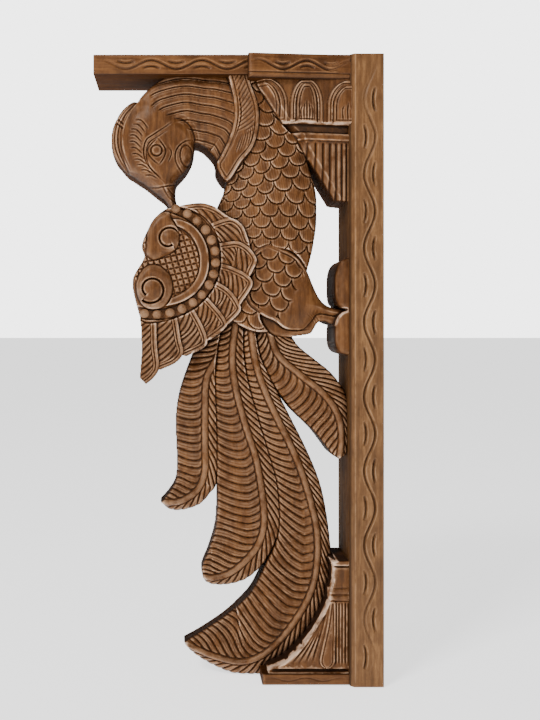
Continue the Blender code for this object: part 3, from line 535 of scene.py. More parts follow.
def neck(sheet):
    """The bent neck that runs smoothly into the head, with the strands combed along it."""
    outline = closed_line(NECK_OUTLINE + HEAD_OUTLINE)
    nape = [(-150, 228), (-160, 240), (-172, 246), (-190, 256), (-204, 262)]
    skull = closed_line(nape + HEAD_OUTLINE[::-1])
    middle = smooth_line(
        [(-91, 222), (-100, 238), (-111, 249.5), (-129, 256), (-142, 258), (-157.5, 260.5), (-172, 258),
         (-184, 253), (-194, 240), (-198, 224)]
    )
    part, across, up, edge = sheet.within(outline)
    along, side, length = along_line(middle, across, up)
    reach = side / spread([46, 42, 40, 38, 36, 36, 34], along / length)
    on_neck = 12 + 17 * dome(reach) + roll_off(edge, 5, 4)
    on_head = 11 + roll_off(edge, 24, 17)
    in_skull = inside_line(skull, across, up)
    share = ease((in_skull + 4) / 12)
    sheet.lay(part, edge, on_neck * (1 - share) + on_head * share)

    pitch = STRAND_PITCH + 0.02 * np.clip(across + 150, 0, 50)
    number = side / pitch + 0.02 * wander(across, up, 17, 2)
    from_cut = np.abs(number - np.round(number)) * pitch
    combed = ease((across + 194) / 4) * ease((edge - 1) / 3) * (1 - ease((in_skull + 2) / 4))
    second = np.abs(number - np.round(number - 0.24) - 0.24) * pitch
    cuts = vee(from_cut, 2.4, 1.7) + 0.5 * ease(1 - from_cut / 4.4) + 0.6 * vee(second, 1.3, 1.2)
    sheet.cut(part, combed * cuts)
    arc = [(-170, 245), (-162, 244.5), (-154.5, 239), (-150, 230), (-149, 221)]
    sheet.stroke(arc, 8.0, 2.6)
    sheet.stroke(arc, 2.2, 1.2)


def crest(sheet):
    """The crest behind the head, in long lines with two nicks."""
    outline = closed_line(
        [(-200, 262), (-206, 264.5), (-211, 264.5), (-219, 258.5), (-225, 250.5), (-230, 239.5),
         (-232, 227), (-230, 212), (-224, 202), (-211, 190.5), (-200, 205), (-200, 240)]
    )
    part, _, _, edge = sheet.within(outline)
    sheet.lay(part, edge, 24 + roll_off(edge, 9, 9))


def head(sheet):
    """The head's crest lines, brow, almond eye, cheek, beak and the tufts behind the eye."""
    for share in (0.0, 0.36, 0.7):
        sheet.stroke(
            [(-206 - 6 * share, 262 + share), (-214 - 9 * share, 252 - share), (-220 - 10 * share, 238),
             (-221 - 10 * share, 222), (-218 - 8 * share, 208), (-212 - 5 * share, 195)],
            2.2,
            1.5,
        )
    for drop in (0, 5):
        sheet.stroke([(-229, 249 - drop), (-225, 247 - drop), (-219, 241 - drop)], 2.6, 2.2)

    brow = np.array(
        [(-170.5, 242), (-178, 236.5), (-188, 230), (-196.5, 223.5), (-199, 212), (-196, 201), (-189, 193),
         (-181, 186)]
    )
    sheet.stroke(brow, 2.0, 1.7)
    sheet.stroke(brow[1:] + (2.6, -3.0), 1.8, 1.5)
    eye_across, eye_up = -186.6, 213.6
    lid = [(-185.5, 226), (-191, 220.5), (-195.2, 213.5), (-191.5, 206), (-184, 199.5)]
    other_lid = [(-185.5, 226), (-181, 220), (-177.6, 213.5), (-179.5, 206.5), (-184, 199.5)]
    sheet.stroke(lid, 2.0, 1.9)
    sheet.stroke(other_lid, 2.0, 1.9)
    part, across, up = sheet.window(np.array([(eye_across, eye_up)]), 8)
    from_eye = np.hypot(across - eye_across, up - eye_up)
    sheet.cut(part, vee(from_eye - 5.4, 2.4, 1.8) - 1.4 * np.sqrt(np.clip(1 - (from_eye / 4.4) ** 2, 0, 1)))
    for turn in (0.6, 1.0, 1.4):
        line = [(-176 - turn, 224 - 3 * turn), (-172, 214 - 2 * turn), (-174 - turn, 203 - turn)]
        sheet.stroke(line, 1.4, 0.6)

    part, across, up = sheet.window(np.array([(-157.5, 209.6)]), 18)
    from_cheek = np.hypot((across + 157.5) / 0.62, up - 209.6)
    sheet.cut(part, vee(from_cheek - 9.8, 3.2, 1.7) - 1.2 * ease((9 - from_cheek) / 5))
    cheek = [(-151, 225), (-159.5, 222.5), (-167, 214.5), (-168, 204), (-163, 195), (-157, 190)]
    sheet.stroke(cheek, 2.1, 1.7)

    for line, width, depth in (
        ([(-195, 179.5), (-186, 178.2), (-177, 179.2), (-167, 182.5)], 2.2, 1.6),
        ([(-180.5, 178.5), (-177.5, 173.5), (-173.5, 168), (-167.5, 163)], 2.4, 2.0),
        ([(-176, 178), (-173, 174), (-167.5, 168.5)], 1.8, 1.3),
    ):
        sheet.stroke(line, width, depth)

    tufts = 11
    for number in range(tufts):
        part = number / (tufts - 1)
        left = float(spread([-207, -212, -213.5, -211, -206, -198], part))
        top = float(spread([244, 235, 223, 211, 200, 190], part))
        fall = 9.5 - 6 * part
        line = [(left, top), (left + 6, top + 0.6 - 0.2 * fall), (left + 12.5, top - fall)]
        sheet.stroke(line, 2.0, 1.6)


def collar(sheet):
    """The rimmed collar feather between neck and body."""
    outline = closed_line(
        [(-118, 296), (-102, 296), (-94, 276), (-88, 258), (-87, 243), (-89, 228), (-94, 215), (-104, 203),
         (-117, 184), (-126, 192), (-128, 201), (-123, 210), (-115, 228), (-111, 246), (-112, 266)]
    )
    axis = smooth_line([(-110, 296), (-99, 262), (-98, 238), (-106, 214), (-124, 190)])
    part, across, up, edge = sheet.within(outline)
    along, side, _ = along_line(axis, across, up)
    strokes = 1.1 * groove((along + 0.9 * side) / 4.6) * ease((edge - 4.4) / 1.5) * ease((up - 228) / 8)
    depth = 9.0 + 0.008 * side**2 + roll_off(edge, 2.5, 2.2)
    sheet.lay(part, edge, depth + sheet.detail * (vee(edge - 3.7, 1.8, 1.3) + strokes))
    quill = [(-106.5, 276), (-105.5, 262), (-104.2, 251), (-105.5, 240), (-109, 230), (-116.5, 212)]
    sheet.stroke(quill, 1.8, 1.2)
    for number in range(6):
        turn = -0.75 + 0.26 * number
        left, top = -102 + 1.6 * number, 231 + 1.5 * number
        sheet.stroke([(left, top), (left + 4 * turn - 1, top - 9), (left + 5 * turn - 4, top - 20)], 1.6, 0.9)


# The leading edges of the wing's short feathers from shoulder to tip, each with two points round its end
FAN = [
    [(-170, 158), (-156, 161), (-142, 162), (-129, 158), (-119, 151)],
    [(-138, 140), (-130, 144), (-114.5, 148), (-103, 141), (-97, 127)],
    [(-128, 122), (-121.5, 124), (-107, 125), (-95.5, 118), (-89, 107), (-94, 94)],
    [(-128, 104), (-121.5, 103), (-111, 99.5), (-98, 92.5), (-93, 83), (-104, 65)],
    [(-133, 88), (-126, 85), (-114.5, 77), (-106, 65), (-105, 57), (-116, 45)],
    [(-142, 79), (-137, 71), (-124, 56), (-118, 46), (-120, 40), (-133, 30)],
    [(-154, 67), (-149, 57), (-141.5, 43), (-137, 30), (-140, 22), (-158, 13)],
    [(-168, 58), (-166, 49), (-163, 30), (-160.5, 17), (-168, 7), (-183, 0)],
    [(-187, 56), (-186.5, 46), (-186, 24), (-184, 3), (-189, -7), (-197, -14)],
]
FAN_CLOSE = [(-204, 58), (-202, 42), (-201, 18), (-203, -8)]
FAN_HUB = (-165, 96)
FAN_LAP = 4.0


def fan_feather(sheet, number):
    """A short wing feather: a rim along its leading edge and round its end, and curved barbs behind it."""
    points = FAN[number]
    line = smooth_line(points)
    if number + 1 < len(FAN):
        behind = np.array(FAN[number + 1][:-2], float)
        away = behind - np.array(points[: len(behind)], float)
        behind += FAN_LAP * away / np.hypot(away[:, :1], away[:, 1:])
    else:
        behind = np.array(FAN_CLOSE, float)
    outline = np.vstack([line, behind[::-1], [FAN_HUB], line[:1]])
    part, across, up, edge = sheet.within(outline)
    _, from_rim, _ = along_line(line, across, up)
    off = np.abs(from_rim)
    straight = np.array(points[:-2], float)
    onward = straight[-1] - straight[-2]
    straight = np.vstack([straight, straight[-1] + 30 * onward / math.hypot(*onward)])
    along, side, _ = along_line(smooth_line(straight), across, up)
    behind_rim = np.abs(side)
    depth = 9.0 + 0.13 * np.clip(off, 0, 30) + roll_off(off, 1.8, 1.4) + 0.06 * np.clip(18 - along, 0, 18)
    sweep = 1.1 * behind_rim - 0.016 * behind_rim**2
    barbs = 2.0 * groove((along - sweep + wander(across, up, 13, 0.8)) / 5.6) * ease((off - 5.4) / 0.8)
    rims = vee(off - 3.5, 1.6, 1.6) + vee(off - 5.9, 1.4, 0.8) + 0.6 * ease((off - 3.4) / 0.8)
    sheet.lay(part, edge, depth + sheet.detail * (barbs + rims), 1.0)


def crescent(sheet):
    """The smooth raised crescent around the wing's shoulder."""
    spine = smooth_line(
        [(-186, 138), (-176, 143), (-164, 142.5), (-152, 135.5), (-143.5, 123), (-140, 108), (-142, 92),
         (-151, 78), (-165, 69), (-182, 64.5), (-196, 63)]
    )
    part, across, up = sheet.window(spine, 8)
    along, side, length = along_line(spine, across, up)
    half = spread([1.2, 3.0, 4.0, 4.4, 4.4, 4.4, 4.2, 4.0, 3.6, 3.0, 1.5], along / length)
    edge = half - np.abs(side)
    sheet.lay(part, edge, 7.6 + 2.6 * dome(side / (half + 0.4)))


def wing_disc(sheet):
    """The round shoulder of the wing, with its lattice and the groove that the beads sit in."""
    outline = closed_line(
        [(-176, 158), (-158, 157), (-142, 150), (-130, 136), (-124.5, 118), (-124.5, 98), (-132, 78),
         (-146, 62), (-164, 52), (-184, 46.5), (-200, 47), (-207, 66), (-210, 88), (-199, 109), (-201, 122),
         (-191, 144)]
    )
    part, across, up, edge = sheet.within(outline)
    one_way = groove((across + 0.28 * up + 0.4) / LATTICE_PITCH)
    lattice = np.maximum(one_way, groove((up - 0.22 * across) / (1.05 * LATTICE_PITCH)))
    within = ease((36 - np.hypot((across + 179) / 0.97, up - 104)) / 2)
    ring_across, ring_up, reach_across, reach_up = BEAD_RING
    from_ring = (np.hypot((across - ring_across) / reach_across, (up - ring_up) / reach_up) - 1) * reach_up
    channel = 3.0 * ease((6.2 - np.abs(from_ring)) / 1.6)
    depth = 12.5 + roll_off(edge, 3, 4) - 2.6 * within + channel
    sheet.lay(part, edge, depth + sheet.detail * 2.4 * within * lattice)


def curl(sheet, outline, middle, knob, start, front):
    """A coil of wood: a rounded roll that winds in to a knob."""
    line = closed_line(outline)
    part, across, up, edge = sheet.within(line)
    far = np.hypot(across - middle[0], up - middle[1])
    turn = np.mod(start - np.arctan2(up - middle[1], across - middle[0]), 2 * math.pi) / (2 * math.pi)
    coil = knob + 0.85 * knob * turn
    depth = front + roll_off(edge, 5, 4) + 0.012 * np.minimum(far, 14) ** 2
    line_of_coil = vee(np.abs(far - coil), 3.0, 3.2) * ease((edge - 0.5) / 2)
    outside = np.maximum(far - coil, 0)
    share = outside / np.maximum(outside + np.maximum(edge, 0), 0.01)
    roll = -2.4 * np.clip(1 - (2 * share - 1) ** 2, 0, 1) * (far > coil)
    boss = -2.6 * np.clip(1 - (far / coil) ** 2, 0, 1)
    sheet.lay(part, edge, depth + sheet.detail * (line_of_coil + roll + boss))


def curls(sheet):
    """The two coiled rolls at the wing's front, one above the other."""
    curl(
        sheet,
        [(-175, 154), (-185, 151), (-192.5, 142), (-196, 131), (-197, 120), (-196, 111), (-189, 106.5),
         (-180, 110), (-171, 114), (-165.5, 121), (-164.5, 132), (-168, 142), (-172, 148)],
        (-174.5, 127.5),
        7.0,
        math.radians(-60),
        6.5,
    )
    curl(
        sheet,
        [(-195, 102), (-203, 94), (-206.5, 83), (-204.5, 70), (-198, 61), (-187, 59), (-176, 64),
         (-171, 75), (-171.5, 88), (-176.5, 96), (-185, 102)],
        (-191.5, 78.5),
        7.6,
        math.radians(-130),
        6.0,
    )


def wing(sheet):
    """The folded wing, over the body and the tail's roots."""
    for number in range(len(FAN)):
        fan_feather(sheet, number)
    wing_disc(sheet)
    crescent(sheet)
    curls(sheet)


def base(sheet):
    """The foot block: a ledge, a block, two rings and a fluted flare with a lotus petal."""
    outline = straight_line(
        [(6, -185), (-17, -185), (-15, -192), (-15, -204), (-17, -212), (-19, -214), (-19, -224),
         (-22.3, -232), (-27.3, -242.6), (-34.2, -254.3), (-42.2, -264.9), (-51, -274.6), (-61, -283.8),
         (-78, -291.7), (-80, -304), (6, -304)]
    )
    part, across, up, edge = sheet.within(outline)
    depth = np.interp(
        up,
        [-310, -294.5, -293.2, -291.4, -290, -226, -224, -212, -210.5, -192.5, -191, -189.5, -186],
        [9, 9, 14, 14, 10.5, 10, 8.5, 8.5, 10, 10, 12.5, 7.5, 7],
    )
    rings = 1.9 * groove((up + 212) / 6.4) * ease((-210 - up) / 1.5) * ease((up + 226) / 1.5)
    fluted = ease((-225.5 - up) / 2) * ease((across + 15.3) / 1.5) * ease((up + 287) / 4)
    flutes = 2.3 * groove(across / 3.05) * fluted
    into_post = 6 * ease((across - 1.5) / 2)
    sheet.lay(part, edge, depth + sheet.detail * (rings + flutes) + roll_off(edge, 2, 1.5) + into_post)

    spine = smooth_line([(-15.5, -227), (-17, -250), (-19.5, -270), (-21.6, -289.5)])
    part, across, up = sheet.window(spine, 14)
    along, side, length = along_line(spine, across, up)
    half = spread([3, 4.5, 6.5, 8.6], along / length)
    half *= np.sqrt(1 - np.clip((along - length + 9) / 9, 0, 1) ** 2)
    edge = half - np.abs(side)
    sheet.lay(part, edge, 8.2 + roll_off(edge, 2.2, 2) + sheet.detail * vee(edge - 2.6, 1.6, 1.3), 1.0)
    for number in range(5):
        reach = 0.16 + 0.19 * number
        line = [(-21 - 3 * reach, -236 - 4 * reach), (-25 - 13 * reach, -255 - 6 * reach)]
        sheet.stroke(line + [(-30 - 34 * reach, -284 - 2 * reach)], 2.6, 2.0)


def carve(sheet):
    """Every carved form, each laid over the ones before it."""
    for form in (tail, base, body, thigh, foot, console, crest, neck, head, collar, wing):
        sheet.forms += 1
        form(sheet)
    sheet.inside = np.minimum(sheet.inside, np.minimum(sheet.up - LOWEST - FOOT_GAP, HIGHEST - sheet.up))


# Which forms make one piece of the carving, by their order in carve
CARVED_PIECES = {"peacock_tail": (1, 2), "peacock_body": (3, 4, 5, 11), "peacock_neck": (6, 7, 8, 9, 10)}


def near_average(values, weight, radius):
    """Each place's average over its neighbours within a radius counted in steps, among those with weight."""
    reach = np.arange(-2 * radius, 2 * radius + 1)
    kernel = np.exp(-((reach / radius) ** 2))

    def blurred(grid):
        for axis in (0, 1):
            padding = [(0, 0), (0, 0)]
            padding[axis] = (2 * radius, 2 * radius)
            padded = np.pad(grid, padding)
            total = np.zeros(grid.shape)
            for shift, share in zip(range(4 * radius + 1), kernel):
                part = [slice(None), slice(None)]
                part[axis] = slice(shift, shift + grid.shape[axis])
                total += share * padded[tuple(part)]
            grid = total
        return grid

    return blurred(values * weight) / np.maximum(blurred(weight), 1e-6)


def flat_blocks(values, solid, form, size, tolerance):
    """Which blocks of cells lie wholly inside one piece and nearly in one plane."""
    columns, rows = (values.shape[0] - 1) // size, (values.shape[1] - 1) // size
    first, second = np.arange(columns) * size, np.arange(rows) * size
    corner = {
        (right, above): values[np.ix_(first + right * size, second + above * size)]
        for right in (0, 1)
        for above in (0, 1)
    }
    flat = np.ones((columns, rows), bool)
    for right in range(size + 1):
        for above in range(size + 1):
            across, up = right / size, above / size
            plane = (
                (1 - across) * (1 - up) * corner[0, 0]
                + across * (1 - up) * corner[1, 0]
                + (1 - across) * up * corner[0, 1]
                + across * up * corner[1, 1]
            )
            places = np.ix_(first + right, second + above)
            flat &= solid[places] & (np.abs(values[places] - plane) < tolerance)
            if right < size and above < size:
                flat &= form[places]
    return flat


def block_faces(blocks, size, number):
    """A face for each flat block, with the corners in between where its neighbour is left in small cells."""
    wide = np.pad(blocks, 1)
    faces = {}
    for column, row in zip(*np.nonzero(blocks)):
        left, low = column * size, row * size
        ring = []
        for across, up, right_step, up_step, beside in (
            (0, 0, 1, 0, wide[column + 1, row]),
            (size, 0, 0, 1, wide[column + 2, row + 1]),
            (size, size, -1, 0, wide[column + 1, row + 2]),
            (0, size, 0, -1, wide[column, row + 1]),
        ):
            for share in range(1 if beside else size):
                ring.append(number[left + across + share * right_step, low + up + share * up_step])
        faces.setdefault(len(ring), []).append(ring)
    return [np.array(rings) for rings in faces.values()]


def cell_ring(solid):
    """The face of a cell with these corners solid: even numbers are its corners, odd ones the crossings."""
    ring = []
    for corner in range(4):
        if solid[corner]:
            ring.append(2 * corner)
        if solid[corner] != solid[(corner + 1) % 4]:
            ring.append(2 * corner + 1)
    return ring


def side_faces(inside, own, values, number, size, tolerance):
    """The faces of one side of a piece, as rows of place numbers, counted round in the plane's sense."""
    total = inside.size
    blocks = flat_blocks(values, inside > 0, own, size, tolerance)
    faces = block_faces(blocks, size, number)
    merged = np.zeros((inside.shape[0] - 1, inside.shape[1] - 1), bool)
    merged[: blocks.shape[0] * size, : blocks.shape[1] * size] = np.kron(blocks, np.ones((size, size), bool))
    here = number[:-1, :-1]
    right, above, both = number[1:, :-1], number[:-1, 1:], number[1:, 1:]
    around = [here, total + here, right, 2 * total + right, both, total + above, above, 2 * total + here]
    around = np.stack(around)
    corners = np.stack([inside[:-1, :-1], inside[1:, :-1], inside[1:, 1:], inside[:-1, 1:]]) > 0
    kind = (corners * np.array([1, 2, 4, 8])[:, None, None]).sum(0)
    kind[merged | ~own[:-1, :-1]] = 0
    for case in range(1, 16):
        cells = around[:, kind == case]
        if cells.size:
            faces.append(cells[cell_ring([bool(case >> corner & 1) for corner in range(4)])].T)
    return faces


def open_edges(faces):
    """The edges that only one of the faces has, as pairs of place numbers in that face's order."""
    first = np.concatenate([face.reshape(-1) for face in faces]).astype(np.int64)
    last = np.concatenate([np.roll(face, -1, 1).reshape(-1) for face in faces]).astype(np.int64)
    span = int(max(first.max(), last.max())) + 1
    forward, backward = first * span + last, last * span + first
    alone = ~np.isin(forward, backward)
    return np.stack([first[alone], last[alone]], 1)


def carved_piece(name, sheet, back, own, place, flat=CARVED_FLAT):
    """A closed mesh of a piece's own places; its points know how hollow and deep they lie, and the sides."""
    least = 0.15 * sheet.step
    inside = np.where(np.abs(sheet.inside) < least, np.where(sheet.inside < 0, -least, least), sheet.inside)
    total = inside.size
    number = np.arange(total).reshape(inside.shape)
    weight = (inside > 0).astype(float)
    rows = [sheet.across, sheet.up, sheet.depth, back]
    for reach in (HOLLOW_REACH, DEEP_REACH):
        rows.append(sheet.depth - near_average(sheet.depth, weight, max(1, round(reach / sheet.step))))
    rows = np.stack(rows)

    def crossings(low, high):
        part = inside[low] / np.where(inside[low] == inside[high], 1, inside[low] - inside[high])
        return rows[(slice(None), *low)] + part * (rows[(slice(None), *high)] - rows[(slice(None), *low)])

    every, but_last, but_first = slice(None), slice(None, -1), slice(1, None)
    places = np.zeros((6, 3 * total))
    places[:, :total] = rows.reshape(6, -1)
    sideways = crossings((but_last, every), (but_first, every))
    places[:, total + number[:-1].reshape(-1)] = sideways.reshape(6, -1)
    upright = crossings((every, but_last), (every, but_first))
    places[:, 2 * total + number[:, :-1].reshape(-1)] = upright.reshape(6, -1)

    front_faces = side_faces(inside, own, sheet.depth, number, BLOCK, flat[0])
    back_faces = side_faces(inside, own, back, number, BLOCK, flat[1])
    rim = open_edges(front_faces)
    used, order = [], []
    for faces in (front_faces, back_faces, [rim]):
        used.append(np.unique(np.concatenate([face.reshape(-1) for face in faces])))
        order.append(np.full(3 * total, -1))
        order[-1][used[-1]] = sum(len(earlier) for earlier in used[:-1]) + np.arange(len(used[-1]))
    front, behind, ring = order
    groups = [front[face] for face in front_faces] + [behind[face[:, ::-1]] for face in back_faces]
    for upper, lower in ((front, ring), (ring, behind)):
        groups.append(np.stack([upper[rim[:, 1]], upper[rim[:, 0]], lower[rim[:, 0]], lower[rim[:, 1]]], 1))
    front_at, back_at, ring_at = (places[:, part] for part in used)
    points = np.concatenate(
        [
            place(front_at[0], front_at[1], front_at[2]),
            place(back_at[0], back_at[1], back_at[3]),
            place(ring_at[0], ring_at[1], ring_at[2] + SIDE_SHADE_INSET),
        ]
    )
    mesh = mesh_from(name, points, groups)
    away = np.ones(len(used[1]) + len(used[2]))
    add_values(mesh, "hollow", np.concatenate([front_at[4], 0 * away]))
    add_values(mesh, "deep", np.concatenate([front_at[5], 0 * away]))
    # side is 1 on the back and the sides, which the finish darkens there as painted shade and makes matt
    add_values(mesh, "side", np.concatenate([0 * front_at[0], away]))
    return lightened(mesh)


def add_values(mesh, name, values):
    """A value for each of the mesh's points, under a name that its finish reads."""
    mesh.attributes.new(name, "FLOAT", "POINT").data.foreach_set("value", values.astype(np.float32))


def add_object(name, data):
    """A new object in the scene."""
    made = bpy.data.objects.new(name, data)
    bpy.context.scene.collection.objects.link(made)
    return made


def plain_mesh(holder, modifier, name):
    """The holder's mesh with its modifier worked in, under this name; the holder and its own mesh go."""
    bpy.context.view_layer.update()
    made = bpy.data.meshes.new_from_object(holder.evaluated_get(bpy.context.evaluated_depsgraph_get()))
    spent = holder.data
    holder.modifiers.remove(modifier)
    bpy.data.objects.remove(holder)
    bpy.data.meshes.remove(spent)
    made.name = name
    return made


def lightened(mesh):
    """The same mesh, in fewer triangles where it has more than one piece may have."""
    count = sum(len(polygon.vertices) - 2 for polygon in mesh.polygons)
    if count <= MOST_TRIANGLES:
        return mesh
    holder = add_object("holder", mesh)
    modifier = holder.modifiers.new("fewer", "DECIMATE")
    modifier.ratio = MOST_TRIANGLES / count
    return plain_mesh(holder, modifier, mesh.name)


def mesh_from(name, points, groups):
    """A smooth-shaded mesh from places and groups of faces with equally many corners."""
    loops = np.concatenate([group.reshape(-1) for group in groups]).astype(np.int32)
    sizes = np.concatenate([np.full(len(group), group.shape[1]) for group in groups]).astype(np.int32)
    mesh = bpy.data.meshes.new(name)
    mesh.vertices.add(len(points))
    mesh.vertices.foreach_set("co", points.astype(np.float32).reshape(-1))
    mesh.loops.add(len(loops))
    mesh.loops.foreach_set("vertex_index", loops)
    mesh.polygons.add(len(sizes))
    mesh.polygons.foreach_set("loop_start", np.concatenate([[0], np.cumsum(sizes)[:-1]]).astype(np.int32))
    mesh.polygons.foreach_set("loop_total", sizes)
    mesh.update(calc_edges=True)
    mesh.validate()
    mesh.polygons.foreach_set("use_smooth", np.ones(len(sizes), bool))
    mesh.set_sharp_from_angle(angle=math.radians(SHARP_ANGLE))
    return mesh


def placed(left, front, low, deep=UNIT):
    """A function that turns a sheet's places into metres, from where its zeros lie and its unit of depth."""

    def place(across, up, depth):
        return np.stack([across * UNIT + left, depth * deep + front, up * UNIT + low], 1)

    return place


def add_piece(mesh, material):
    """The mesh as a piece of the corbel, in its finish."""
    if not mesh.materials:
        mesh.materials.append(material)
    piece = add_object(mesh.name, mesh)
    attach(piece, "root")
    return piece


CARVED_PLACE = placed(-POST_WIDTH, -DEPTH / 2, -LOWEST * UNIT - HEIGHT / 2, DEPTH / CARVED_DEPTH)


def carving(material):
    """The carved plank in three pieces that meet along the edges of its forms."""
    front = Sheet(STEP)
    plain = Sheet(STEP, detail=0.0)
    carve(front)
    carve(plain)
    front.depth += wander(front.across, front.up, *FINE_MARKS) + wander(front.up, front.across, *BROAD_MARKS)
    back = BACK_DEPTH - BACK_RELIEF * (plain.depth - 6) - roll_off(plain.inside, *BACK_EDGE)
    made = []
    for name, forms in CARVED_PIECES.items():
        mesh = carved_piece(name, front, back, np.isin(front.form, forms), CARVED_PLACE)
        made.append(add_piece(mesh, material))
    return made


def waves(sheet, low, high, middle, start, pitch, reach, dash=None, upright=False, cut=WAVE_CUT):
    """A waving line cut along a bar, and short bent strokes that face its bends from the other side."""
    way = -1 if upright else 1
    width, depth = cut
    along = np.arange(low, high + 0.1, pitch / 16)
    line = [(float(at), float(middle + reach * math.cos(2 * math.pi * (at - start) / pitch))) for at in along]
    sheet.stroke([point[::way] for point in line], width, depth, steps=2)
    if dash is None:
        return
    dash_reach, length, share_of_depth = dash
    at = start + pitch * math.floor((low - start) / pitch)
    turn = 1
    while at < high:
        if low + length / 2 < at < high - length / 2:
            line = []
            for share in (-1, -0.5, 0, 0.5, 1):
                line.append((at + share * length / 2, middle - turn * (dash_reach - 2.0 * (1 - share**2))))
            sheet.stroke([point[::way] for point in line], width, share_of_depth * depth, steps=3)
        at += pitch / 2
        turn = -turn


def bar_sheet(bounds, step=BAR_STEP):
    """A plain rectangular sheet, filled, with its edges a little rounded."""
    left, right, bottom, top = bounds
    sheet = Sheet(step, bounds=(left - 2, right + 2, bottom - 2, top + 2))
    beside = np.minimum(sheet.across - left, right - sheet.across)
    sheet.inside = np.minimum(beside, np.minimum(sheet.up - bottom, top - sheet.up))
    sheet.depth = roll_off(sheet.inside, *BAR_EDGE)
    sheet.form[:] = 1
    return sheet


def bar_piece(name, sheet, thickness, place, material, uneven=0.14, back_drop=BAR_EDGE[1]):
    """A bar's sheet as a piece, its front as uneven as hand work."""
    sheet.depth += wander(sheet.across, sheet.up, 5.3, uneven)
    back = thickness - roll_off(sheet.inside, BAR_EDGE[0], back_drop)
    return add_piece(carved_piece(name, sheet, back, sheet.form == 1, place, BAR_FLAT), material)


def post(material):
    """The bar on the wall, chamfered and cut with a waving line."""
    width, half_height = POST_WIDTH / UNIT, HEIGHT / UNIT / 2
    chamfer = POST_CHAMFER / UNIT
    sheet = bar_sheet((0, width, -half_height, half_height))
    sheet.depth = np.maximum(sheet.depth, chamfer - sheet.across)
    middle = (chamfer + width) / 2
    waves(sheet, 12 - half_height, half_height - 6, middle, 225, 71.5, 5.3, dash=(5.4, 24, 1.1), upright=True)
    place = placed(-POST_WIDTH, -DEPTH / 2, 0, DEPTH / CARVED_DEPTH)
    return bar_piece("post", sheet, CARVED_DEPTH, place, material)


def beam(material):
    """The short beam along the top, cut with a waving line."""
    width, height, reach = WIDTH / UNIT, BEAM_HEIGHT / UNIT, POST_WIDTH / 2 / UNIT
    sheet = bar_sheet((-width, -reach, 0, height))
    waves(sheet, 4 - width, -reach - 6, height / 2, 7 - width, 49, 4.2, dash=(3.6, 17, 0.9))
    place = placed(0, BEAM_SETBACK - DEPTH / 2, HEIGHT / 2 - BEAM_HEIGHT - APART)
    return bar_piece("beam", sheet, (DEPTH - BEAM_SETBACK - APART) / UNIT, place, material)


def abacus(material):
    """The thicker length of beam over the console, proud at its free end, with a roll along its foot."""
    reach, height = ABACUS_REACH / UNIT, ABACUS_HEIGHT / UNIT
    sheet = bar_sheet((-reach, POST_WIDTH / 2 / UNIT, 0, height))
    free_edge = np.minimum(0.6 * (sheet.across + reach), sheet.up)
    sheet.depth = np.maximum(sheet.depth, roll_off(free_edge, 3.5, 3.4))
    waves(sheet, 3 - reach, -2, height / 2 + 1, 10 - reach, 47, 4.3, dash=(2.6, 15, 0.9))
    lean = 2 * ABACUS_PROUD / UNIT * np.clip((sheet.across + reach) / reach, 0, 1)
    sheet.depth += vee(sheet.up - 5.4, 2.0, 1.3) + lean
    place = placed(-POST_WIDTH, -DEPTH / 2 - ABACUS_PROUD, HEIGHT / 2 - ABACUS_HEIGHT - 2 * APART)
    return bar_piece("abacus", sheet, (DEPTH / 2 + ABACUS_PROUD) / UNIT, place, material, back_drop=0)


def plate(material):
    """The flat plate under the foot block."""
    reach, height = PLATE_REACH / UNIT, PLATE_HEIGHT / UNIT
    sheet = bar_sheet((-reach, 4, 0, height), PLATE_STEP)
    sheet.depth = np.maximum(sheet.depth, roll_off(sheet.across + reach, 3, 3))
    waves(sheet, 5 - reach, -3, height / 2, 8 - reach, 34, 1.6, cut=(1.6, 0.7))
    place = placed(-POST_WIDTH, PLATE_SETBACK - DEPTH / 2, APART - HEIGHT / 2)
    return bar_piece("plate", sheet, (DEPTH - PLATE_SETBACK - APART) / UNIT, place, material, uneven=0.12)


def add_node(tree, kind, given=(), **settings):
    """A node with its settings made, and its inputs, by name or number, joined to outputs or given values."""
    node = tree.nodes.new(kind)
    for name, value in settings.items():
        setattr(node, name, value)
    for name, value in dict(given).items():
        if isinstance(value, bpy.types.NodeSocket):
            tree.links.new(value, node.inputs[name])
        else:
            node.inputs[name].default_value = value
    return node


def maths(tree, operation, *values):
    """Values, or one of them alone, put together by a maths node."""
    return add_node(tree, "ShaderNodeMath", enumerate(values), operation=operation).outputs[0]


